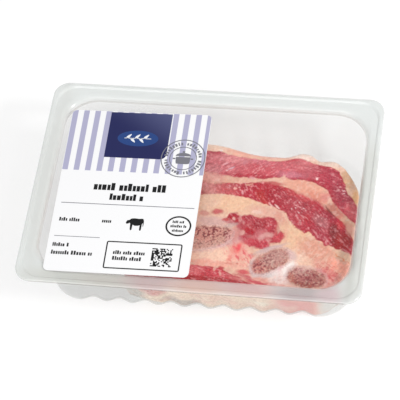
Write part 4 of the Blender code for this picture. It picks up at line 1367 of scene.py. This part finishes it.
@dataclass(frozen=True)
class FleshPainter:
    """Paints the slab from each point's place: fat, lean meat over it with a ragged edge, then spots and
    smears, then the bones with their rims and pores."""

    fat: str = "F0C4AC"
    lean: str = "B8404C"
    bone: str = "B87C72"
    side: str = "FDE4CE"
    side_top: float = 41.0
    side_foot: float = 38.0
    gloss: float = 0.035
    light: float = 0.98
    darkest: float = 0.004
    face_wander: float = 1.3
    over_wander: float = 0.7

    def under_gloss(self, code: str) -> Array:
        """The linear paint that looks like an sRGB hex colour once the juice adds its even gloss."""
        return np.maximum((np.array(linear(code)) - self.gloss) / self.light, self.darkest)

    def mix(self, paint: Array, code: str, weight: Array) -> Array:
        """Mixes a colour, in sRGB hex, into a paint by each point's weight."""
        return blended(paint, self.under_gloss(code), weight)

    def layered(self, base: str, spots: list[Patch], x: Array, y: Array) -> Array:
        """A base colour, in sRGB hex, with patches over it whose edges wander a little."""
        return self.patched(np.tile(self.under_gloss(base), (len(x), 1)), spots, x, y, self.face_wander)

    def patched(self, paint: Array, spots: list[Patch], x: Array, y: Array, wander: float) -> Array:
        """Lays patches over a paint.

        Args:
            paint: Linear colours of shape (n, 3).
            spots: Patches in the order that they are laid.
            x, y: Plan coordinates.
            wander: How far the patches' edges wander.

        Returns:
            The new colours.
        """
        moved = [axis + wander * fractal(x, y, 4.0, seed, 3) for axis, seed in ((x, 71), (y, 72))]
        for spot in spots:
            paint = self.mix(paint, spot.colour, spot.weight(*moved))
        return paint

    def fibres(self, x: Array, y: Array) -> Array:
        """Fibre pattern of the lean meat: its direction turns from the left, over the middle, to the right,
        and it runs along the near layer.

        Args:
            x, y: Plan coordinates.

        Returns:
            Numbers from about -1 to 1.
        """
        runs = ((38, 3.4, 0.8, 11), (-14, 3.4, 0.8, 12), (-55, 2.6, 0.9, 13), (-46, 3.6, 0.75, 14),
                (-18, 3.6, 0.8, 18))
        left_outer, right_outer, left_inner, right_inner, near = (streaks(x, y, *run) for run in runs)
        outer = smooth_step(16, 22, y - np.interp(x, [40, 90, 110], [0, -8, -28]))
        right, low = smooth_step(50, 75, x), smooth_step(-50, -56, y)
        left_inner = left_inner * (1 - low) + near * low
        return (outer * (left_outer * (1 - right) + right_outer * right)
                + (1 - outer) * (left_inner * (1 - right) + right_inner * right))

    @staticmethod
    def busy(x: Array, y: Array) -> Array:
        """Where the lean meat is full of pale flecks and small painted glints."""
        share = sum(spot.weight(x, y) for spot in BUSY_PATCHES)
        return np.clip(share * (0.75 + 0.6 * fractal(x, y, 5.0, 19, 2)), 0.0, 1.0)

    def lean_share(self, x: Array, y: Array) -> Array:
        """How far each point is lean meat: its depth inside the lean outlines, made ragged by noise, and
        blurred over a wider stretch where fat and lean grow into each other.

        Args:
            x, y: Plan coordinates.

        Returns:
            Numbers from 0, fat, to 1, lean.
        """
        depth = np.max([depth_inside(outline, x, y) for outline in lean_outlines()], axis=0)
        eye = Patch((42, -26), 25, 17, 0, 1.0).weight(x, y)
        crumbly = Patch((84, -20), 26, 8, -38, 1.0).weight(x, y) + 0.3 * eye
        depth = depth + 0.7 * eye + (0.6 + 0.9 * crumbly) * fractal(x, y, 3.2, 81, 3)
        depth = depth + 0.5 * fractal(x, y, 7.0, 82, 1) + 0.5 * eye * fractal(x, y, 1.5, 83, 2)
        blurred = Patch((83, 6), 19, 4.6, -27, 1.0).weight(x, y) + Patch((4, 16), 10, 10, 0, 1.0).weight(x, y)
        reach = 0.6 + 2.0 * np.clip(blurred + 0.35 * eye, 0, 1)
        return smooth_step(-1.0, 1.0, depth / reach)

    def colour(self, x: Array, y: Array, z: Array) -> Array:
        """Colour of each point of the slab.

        Args:
            x, y, z: Places.

        Returns:
            Linear colours of shape (n, 3).
        """
        deep = smooth_step(self.side_top, self.side_foot - 12, z)
        wander = 2.5 * deep * fractal(x + y, z, 9.0, 93, 3)
        share = self.lean_share(x + wander, y + wander)
        paint = blended(self.fatty(x, y), self.muscle(x, y), share)
        paint = self.boned(self.patched(paint, OVER_PATCHES, x, y, self.over_wander), x, y)
        return self.sided(paint, share, x, y, z)

    def fatty(self, x: Array, y: Array) -> Array:
        """Colour of the fat: its patches, a fine unevenness, pale and red clouds, and a grain at the right.

        Args:
            x, y: Plan coordinates.

        Returns:
            Linear colours of shape (n, 3).
        """
        fat = self.layered(self.fat, FAT_PATCHES, x, y)
        fine = lattice_noise(x, y, 0.9, 22) * (0.035 + 0.05 * smooth_step(50, 85, x))
        fat = fat * (1 + 0.05 * fractal(x, y, 1.5, 21, 2) + fine)[:, None]
        for code, size, seed in (("FBE3D6", 2.2, 23), ("E08878", 1.5, 24)):
            fat = self.mix(fat, code, 0.22 * smooth_step(0.2, 0.8, fractal(x, y, size, seed, 2)))
        grain = streaks(x, y, 62, 3.6, 1.0, 25) * smooth_step(78, 94, x)
        return fat * (1 + 0.09 * grain)[:, None]

    def muscle(self, x: Array, y: Array) -> Array:
        """Colour of the lean meat: its patches, pale and dark fibres, crumbs of fat, and small painted glints
        where the meat is busy.

        Args:
            x, y: Plan coordinates.

        Returns:
            Linear colours of shape (n, 3).
        """
        lean = self.layered(self.lean, LEAN_PATCHES, x, y)
        fibres, busy, speckle = self.fibres(x, y), self.busy(x, y), lattice_noise(x, y, 1.05, 16)
        tone = (0.1 + 0.06 * busy) * fibres + 0.05 * fractal(x, y, 1.4, 15, 3) + 0.15 * speckle
        lean = lean * (1 + tone)[:, None]
        # Painted glints: near-white dots that stand in for light caught by the wet meat
        glints = smooth_step(0.6, 0.85, 0.35 * fibres + 0.75 * lattice_noise(x, y, 1.0, 17))
        for code, weight in (
                ("E49EA2", (0.2 + 0.14 * busy) * smooth_step(0.15, 0.85, fibres)),
                ("8E2434", (0.1 + 0.16 * busy) * smooth_step(0.3, 0.85, -fibres)),
                ("EDB6B6", (0.33 + 0.33 * busy) * smooth_step(0.2, 0.9, 0.85 * fibres + 0.5 * speckle)),
                ("FFF6F4", 0.9 * busy**2 * glints)):
            lean = self.mix(lean, code, weight)
        return lean

    def boned(self, paint: Array, x: Array, y: Array) -> Array:
        """Lays the bones over a paint: a core with dark pores, which fades into its pale rim.

        Args:
            paint: Linear colours of shape (n, 3).
            x, y: Plan coordinates.

        Returns:
            The new colours.
        """
        depth = np.max([depth_inside(bone.outline(0.0), x, y) - bone.rim for bone in BONES], axis=0)
        depth = depth + 0.8 * fractal(x, y, 3.0, 31, 3)
        core = smooth_step(-1.7, 1.5, depth)
        rim = smooth_step(-3.2, -1.2, depth) * (1 - core)
        bone = self.layered(self.bone, BONE_PATCHES, x, y)
        bone = bone * (1.1 + 0.1 * fractal(x, y, 1.1, 34, 2))[:, None]
        wide = np.clip(sum(spot.weight(x, y) for spot in PORE_PATCHES), 0.0, 1.0)
        pores = smooth_step(0.2 - 0.3 * wide, 0.6 - 0.25 * wide, lattice_noise(x, y, 1.1, 32))
        bone = self.mix(bone, "E0C6B4", 0.42 * smooth_step(0.1, 0.7, lattice_noise(x, y, 1.0, 33)))
        bone = self.mix(bone, "84323E", (0.55 + 0.35 * wide) * pores)
        return blended(self.mix(paint, "DEB6B4", 0.5 * rim), bone, core)

    def sided(self, paint: Array, lean: Array, x: Array, y: Array, z: Array) -> Array:
        """Paints the sides below the cut face: the near side has its own patches, and down the others run the
        layers of the face, turned to a pale grey-pink at the right end as painted shade behind the frosted
        wall.

        Args:
            paint: Linear colours of shape (n, 3).
            lean: How far each point is lean meat.
            x, y, z: Places.

        Returns:
            The new colours.
        """
        near = self.layered(self.side, SIDE_PATCHES, x, z)
        near = self.mix(near, "E8A898", 0.4 * smooth_step(0.0, 0.7, fractal(x, z * 2, 9.0, 91, 3)))
        mottle = smooth_step(-0.3, 0.7, fractal(x - y, z, 6.0, 92, 3))
        blush = smooth_step(0.1, 0.8, fractal(x - y, 2 * z, 9.0, 95, 3))
        # The right end's paint is painted shade: a pale grey-pink in which the face's layers show faintly
        cut, shaded_end = self.layered("E4BEAA", [], x, y), self.layered("CECAC2", [], x, y)
        for code, weight in (("F4DCCC", 0.55 * mottle), ("DC968A", 0.5 * blush),
                             ("AC4854", lean * (0.75 + 0.2 * mottle))):
            cut = self.mix(cut, code, weight)
        cut = cut * (1 + 0.08 * fractal(x - y, z, 1.8, 94, 3))[:, None]
        for code, weight in (("E6D6CA", 0.5 * mottle), ("DDAEAC", lean * (0.7 + 0.3 * mottle)),
                             ("DAB4A8", 0.3 * blush)):
            shaded_end = self.mix(shaded_end, code, weight)
        left = smooth_step(-50.3, -51.5, x) * smooth_step(-68, -63, y)
        away = np.maximum(smooth_step(-62, -52, y), left)
        side = blended(near, blended(cut, shaded_end, smooth_step(104, 113, x)), away)
        return blended(paint, side, smooth_step(self.side_top, self.side_foot - 6 * away, z))


@dataclass(frozen=True)
class BeefSlab:
    """Slab of beef: a cut face with relief over swelling sides, cut along its seams."""

    far_edge: tuple[Point, ...] = ((-48, 47), (-25, 50.5), (-3, 51), (10, 49.4), (22, 46.3), (36, 43.4),
                                   (50, 42.4), (60, 43), (69, 46.6), (77, 45.6), (84, 41), (95, 41.4),
                                   (104, 35.6))
    right_edge: tuple[Point, ...] = ((108.8, -66), (115, -54), (116.9, -35), (116.9, -8), (116.3, 13),
                                     (112, 24), (104, 35.6))
    near_edge: tuple[Point, ...] = ((-50, -71), (-20, -74.2), (25, -74.5), (70, -74.5), (92, -74),
                                    (108.8, -66))
    left_edge: tuple[Point, ...] = ((-50, -71), (-54, -46), (-52, -12), (-54, 20), (-48, 47))
    top: float = 45.0
    floor: float = 1.0
    lean: float = 7.5
    lean_foot: float = 0.7
    edge_round: float = 3.5
    edge_reach: float = 4.6
    clearance: float = 0.5
    press: float = 5.0
    middle: Point = (30.0, -15.0)
    cells: Point = (400, 290)
    side_rows: int = 30
    side_rough: float = 0.35
    side_arc: float = 70.0
    # How far the side stands out at shares of its height
    swell: tuple = ((0, 0.07, 0.33, 0.66, 1), (-1.4, 0.2, 0.9, 0.8, 0.0))
    # Length and width over which the face's rounded edge is measured
    face: Point = (160.0, 115.0)
    cutter_low: float = -5.0
    cutter_high: float = 70.0
    seam_gap: float = 0.02
    bone_rise: float = 0.15
    sharp_degrees: float = 60.0
    # Heights of the face's fine unevenness and of the knife's marks, and its waves: size, then length and
    # phase along each axis
    uneven: float = 0.22
    knife: float = 0.1
    waves: tuple = ((0.8, 17.0, 0.6, 14.0, 1.2), (0.4, 7.5, 0.0, 8.0, 1.3))
    lean_rise: float = 1.2
    lean_reach: float = 6.0
    grooves: tuple[Groove, ...] = (
        Groove((97.5, -2), 12, 4.5, -47, 1.3),
        Groove((110.5, -44.5), 9, 3, -36, 1.8),
        Groove((34, 1), 14, 3, -20, 1.0),
    )

    def relief(self, x: Array, y: Array) -> Array:
        """Height of the cut face over its mean level: two soft waves, lean meat that rises from its outline
        by 1 - exp(-(distance / reach) squared), grooves, and a fine unevenness left by the knife.

        Args:
            x, y: Plan coordinates.

        Returns:
            One height for each point.
        """
        height = self.uneven * fractal(x, y, 3.2, 41, 3) + self.knife * streaks(x, y, -48, 6.0, 1.4, 42)
        for size, length_x, phase_x, length_y, phase_y in self.waves:
            height += size * np.sin(x / length_x + phase_x) * np.sin(y / length_y + phase_y)
        for outline in lean_outlines():
            depth = np.maximum(depth_inside(outline, x, y), 0.0)
            height += self.lean_rise * (1 - np.exp(-((depth / self.lean_reach) ** 2)))
        for groove in self.grooves:
            height -= groove.depth * np.exp(-2 * groove.radius(x, y) ** 2)
        return height

    def lean_at(self, z: Array) -> Array:
        """How far the section has moved from the near wall at a height."""
        return self.lean * (self.top - z) / (self.top - self.lean_foot)

    def held(self, tray: Tray, x: Array, y: Array, z: Array) -> tuple[Array, Array]:
        """Keeps plan points, before they lean, inside the tray's wall: a box with round near corners.

        Args:
            tray: The tray that holds the slab.
            x, y, z: Places.

        Returns:
            The held coordinates.
        """
        share = tray.wall_share(np.clip(tray.height - z, tray.wall_top_drop, tray.height - tray.foot_fillet))
        half_way = (tray.foot_fillet - tray.wall) * math.sin(math.radians(45))
        grow = self.clearance + np.interp(z, [tray.wall, tray.foot_fillet - half_way, tray.foot_fillet],
                                          [tray.foot_fillet, tray.foot_fillet - half_way, tray.wall])
        flute, wave = tray.flute_depth * share, tray.flute_wave(x, tray.last_crest(tray.flutes_long))
        limit_x = tray.length / 2 + tray.right_shift - tray.mouth_inset
        limit_x = limit_x - (tray.foot_inset_short - tray.mouth_inset) * share - grow - flute
        limit_y = tray.width / 2 - tray.mouth_inset
        limit_y = limit_y - (tray.foot_inset_long - tray.mouth_inset) * share - grow - flute * wave
        radius = tray.mouth_radius + (tray.foot_radius - tray.mouth_radius) * share - grow
        lean = self.lean_at(z)
        x, y = np.minimum(x, limit_x), np.maximum(y + lean, -limit_y)
        corner_x, corner_y = limit_x - radius, radius - limit_y
        away_x, away_y = x - corner_x, y - corner_y
        distance = np.maximum(np.hypot(away_x, away_y), 1e-6)
        pull = np.where((away_x > 0) & (away_y < 0) & (distance > radius), radius / distance, 1.0)
        return corner_x + away_x * pull, corner_y + away_y * pull - lean

    def whole(self, tray: Tray) -> Solid:
        """The whole slab, upright and uncut. The face is a Coons patch: each edge curve is blended across to
        its opposite, and the four corners are taken off once, because both pairs of edges hold them.

        Args:
            tray: The tray that holds the slab.

        Returns:
            The solid.
        """
        nu, nv = self.cells
        near, far = (spread(smooth_curve(edge), nu + 1) for edge in (self.near_edge, self.far_edge))
        left, right = (spread(smooth_curve(edge), nv + 1) for edge in (self.left_edge, self.right_edge))
        u, v = np.linspace(0, 1, nu + 1)[:, None, None], np.linspace(0, 1, nv + 1)[None, :, None]
        plan = (1 - v) * near[:, None] + v * far[:, None] + (1 - u) * left[None] + u * right[None]
        plan = plan - (1 - v) * ((1 - u) * near[0] + u * near[-1]) - v * ((1 - u) * far[0] + u * far[-1])
        plan = plan.reshape(-1, 2)
        x, y = self.held(tray, *plan.T, np.full(len(plan), self.top))
        edge_u = np.minimum(np.arange(nu + 1), np.arange(nu + 1)[::-1])[:, None] * (self.face[0] / nu)
        edge_v = np.minimum(np.arange(nv + 1), np.arange(nv + 1)[::-1])[None, :] * (self.face[1] / nv)
        away = 1 - np.clip(np.minimum(edge_u, edge_v).ravel() / self.edge_reach, 0, 1)
        z = self.top + self.relief(x, y) - self.edge_round * (1 - np.sqrt(1 - 0.999 * away**2))
        number = np.arange((nu + 1) * (nv + 1)).reshape(nu + 1, nv + 1)
        corners = [number[:-1, :-1], number[1:, :-1], number[1:, 1:], number[:-1, 1:]]
        faces = [np.stack(corners, axis=-1).reshape(-1, 4)]
        border = np.concatenate([number[:-1, 0], number[-1, :-1], number[:0:-1, -1], number[0, :0:-1]])
        out = np.column_stack([x[border], y[border]]) - self.middle
        length = np.linalg.norm(out, axis=1)
        around = np.arctan2(out[:, 1], out[:, 0]) * self.side_arc
        faces_near = smooth_step(0.75, 0.95, -out[:, 1] / np.abs(out).max(axis=0)[1])
        rows, above = [np.column_stack([x, y, z])], border
        for share in np.linspace(1, 0, self.side_rows + 1)[1:]:
            level = self.floor + (z[border] - self.floor) * share
            swell = np.interp(share, *self.swell)
            rough = self.side_rough * fractal(around, level, 4.0, 51, 3) * min(1, 4 * share)
            press = self.press * faces_near * smooth_step(1.0, 0.75, share)
            moved = self.middle + out * (1 + (swell + press + rough) / length)[:, None]
            below = len(x) + np.arange(len(border)) + len(border) * (len(rows) - 1)
            rows.append(np.column_stack([*self.held(tray, *moved.T, level), level]))
            faces.append(np.column_stack([above, below, np.roll(below, -1), np.roll(above, -1)]))
            above = below
        faces.append(above[None, ::-1])
        return Solid(np.vstack(rows), faces)

    def cut(self, body: bpy.types.Mesh, cutter: Solid, operation: str) -> bpy.types.Mesh:
        """Cuts or keeps what a mesh shares with a solid.

        Args:
            body: The mesh to cut.
            cutter: The solid that cuts it.
            operation: INTERSECT or DIFFERENCE.

        Returns:
            The new mesh.
        """
        first, second = add_object("body", body), add_object("cutter", cutter.mesh("cutter"))
        modifier = first.modifiers.new("cut", "BOOLEAN")
        modifier.operation = operation
        modifier.solver = "MANIFOLD"
        modifier.object = second
        result = bpy.data.meshes.new_from_object(first.evaluated_get(bpy.context.evaluated_depsgraph_get()))
        for item in (first, second):
            bpy.data.objects.remove(item, do_unlink=True)
        return result

    def outline_prism(self, outline: Array) -> Solid:
        """An upright prism from under the slab to over it."""
        return Solid.prism(outline, self.cutter_low, self.cutter_high)

    def finish(self, name: str, mesh: bpy.types.Mesh, tissue: Tissue) -> None:
        """Paints a cut piece, leans it as the slab leans, and puts it in the scene.

        Args:
            name: Solid of the frame that it stands for.
            mesh: The cut mesh, upright.
            tissue: What it is.
        """
        places = places_of(mesh)
        paint_points(mesh, np.clip(FleshPainter().colour(*places.T), 0.0, 1.0))
        places[:, 1] += self.lean_at(places[:, 2])
        mesh.vertices.foreach_set("co", (places * MM).ravel())
        mesh.update()
        title = name.replace("meat_", "beef_").replace("bone_", "rib_")
        add_piece(title, mesh, TISSUE_FINISHES[tissue], (name,), self.sharp_degrees)

    def build(self, tray: Tray) -> None:
        """Builds every piece of the slab in place of its solid.

        Args:
            tray: The tray that holds the slab.
        """
        whole = self.whole(tray)
        half = self.seam_gap / 2
        for part in PARTS:
            if part.outline:
                prism = self.outline_prism(smooth_curve(part.outline, closed=True)[::-1])
            else:
                lower = offset_line(smooth_curve(part.lower), half)
                upper = offset_line(smooth_curve(part.upper), -half)
                prism = self.outline_prism(np.vstack([lower, upper[::-1]]))
            mesh = self.cut(whole.mesh(part.node), prism, "INTERSECT")
            if part.node == "meat_fat_body":
                eye = offset_line(smooth_curve(EYE_OUTLINE, closed=True), self.seam_gap, closed=True)[::-1]
                for outline in [eye, *(bone.outline(self.seam_gap) for bone in BONES)]:
                    mesh = self.cut(mesh, self.outline_prism(outline), "DIFFERENCE")
            self.finish(part.node, mesh, part.tissue)
        for bone in BONES:
            raised = Solid(whole.points + (0, 0, self.bone_rise), whole.faces)
            mesh = self.cut(raised.mesh(bone.node), self.outline_prism(bone.outline(0.0)), "INTERSECT")
            self.finish(bone.node, mesh, Tissue.BONE)


# Studio


def set_pose(item: bpy.types.Object, axes: list[Array], place: Array) -> None:
    """Turns an object's own axes to three directions and moves it to a place in metres."""
    item.matrix_world = Matrix([*np.column_stack([*axes, place]).tolist(), [0.0, 0.0, 0.0, 1.0]])


@dataclass(frozen=True)
class Studio:
    """White floor, soft light and the camera. The camera looks at a point near the tray's middle."""

    focal_px: float = 2070.9
    picture_px: float = 400.0
    elevation: float = 0.9939
    azimuth: float = 0.327
    roll: float = -0.2113
    target: tuple[float, float, float] = (0.2744, -10.7837, 60.0)
    distance: float = 1556.4537
    floor_level: float = -0.3
    floor_reach: float = 4000.0
    world_light: float = 0.62
    # Name, place and width in metres, and power in watts of each light
    lights: tuple = (("key_light", (1.3, -0.4, 1.3), 0.35, 15.0), ("fill_light", (-0.5, -1.5, 1.2), 1.4, 9.0))

    def add_camera(self) -> None:
        """Adds the camera: it stands back from its target, turned about its own axis by the roll."""
        az, el, roll = self.azimuth, self.elevation, self.roll
        back = np.array([math.sin(az) * math.cos(el), -math.cos(az) * math.cos(el), math.sin(el)])
        right = np.array([math.cos(az), math.sin(az), 0.0])
        up = np.cross(back, right)
        across = right * math.cos(roll) + up * math.sin(roll)
        upwards = -right * math.sin(roll) + up * math.cos(roll)
        place = (np.array(self.target) + back * self.distance) * MM
        data = bpy.data.cameras.new("camera")
        data.sensor_fit = "HORIZONTAL"
        data.sensor_width = 36.0
        data.lens = self.focal_px / self.picture_px * data.sensor_width
        data.clip_start, data.clip_end = 0.05, 20.0
        camera = add_object("camera", data)
        set_pose(camera, [across, upwards, back], place)
        bpy.context.scene.camera = camera

    def add_floor(self) -> None:
        """Adds the white floor, which isn't part of the pack."""
        mesh = bpy.data.meshes.new("floor")
        corners = np.array([(*corner, 0) for corner in CORNERS]) * self.floor_reach + (0, 0, self.floor_level)
        mesh.from_pydata((corners * MM).tolist(), [], [(0, 1, 2, 3)])
        table = Finish("white_table", "BABABA", 0.9, sockets={"Emission Color": (1.0, 1.0, 1.0, 1.0),
                                                              "Emission Strength": 0.56})
        mesh.materials.append(table.material())
        add_object("floor", mesh)

    def add_light(self, name: str, place: tuple[float, float, float], size: float, power: float) -> None:
        """Adds a square soft light that faces the pack.

        Args:
            name: Name of the light.
            place: Its place in metres.
            size: Its width in metres.
            power: Its power in watts.
        """
        data = bpy.data.lights.new(name, "AREA")
        data.shape, data.size, data.energy = "SQUARE", size, power
        back = np.array(place) / np.linalg.norm(place)
        side = np.cross((0.0, 1.0, 0.0), back)
        side = side / np.linalg.norm(side)
        set_pose(add_object(name, data), [side, np.cross(back, side), back], place)

    def build(self) -> None:
        """Sets up camera, floor, lights and surroundings."""
        self.add_camera()
        self.add_floor()
        for light in self.lights:
            self.add_light(*light)
        world = bpy.data.worlds.new("surroundings")
        world.use_nodes = True
        backdrop = world.node_tree.nodes["Background"]
        backdrop.inputs["Color"].default_value = (1.0, 1.0, 1.0, 1.0)
        backdrop.inputs["Strength"].default_value = self.world_light
        bpy.context.scene.world = world
        bpy.context.scene.view_settings.view_transform = "Standard"


def main() -> None:
    """Builds the pack piece by piece, then the studio round it."""
    logging.basicConfig(level=logging.INFO, format="%(name)s: %(message)s")
    tray = Tray()
    tray.build()
    LidFilm().build(tray)
    Label().build()
    BeefSlab().build(tray)
    Studio().build()


if __name__ == "__main__":
    main()
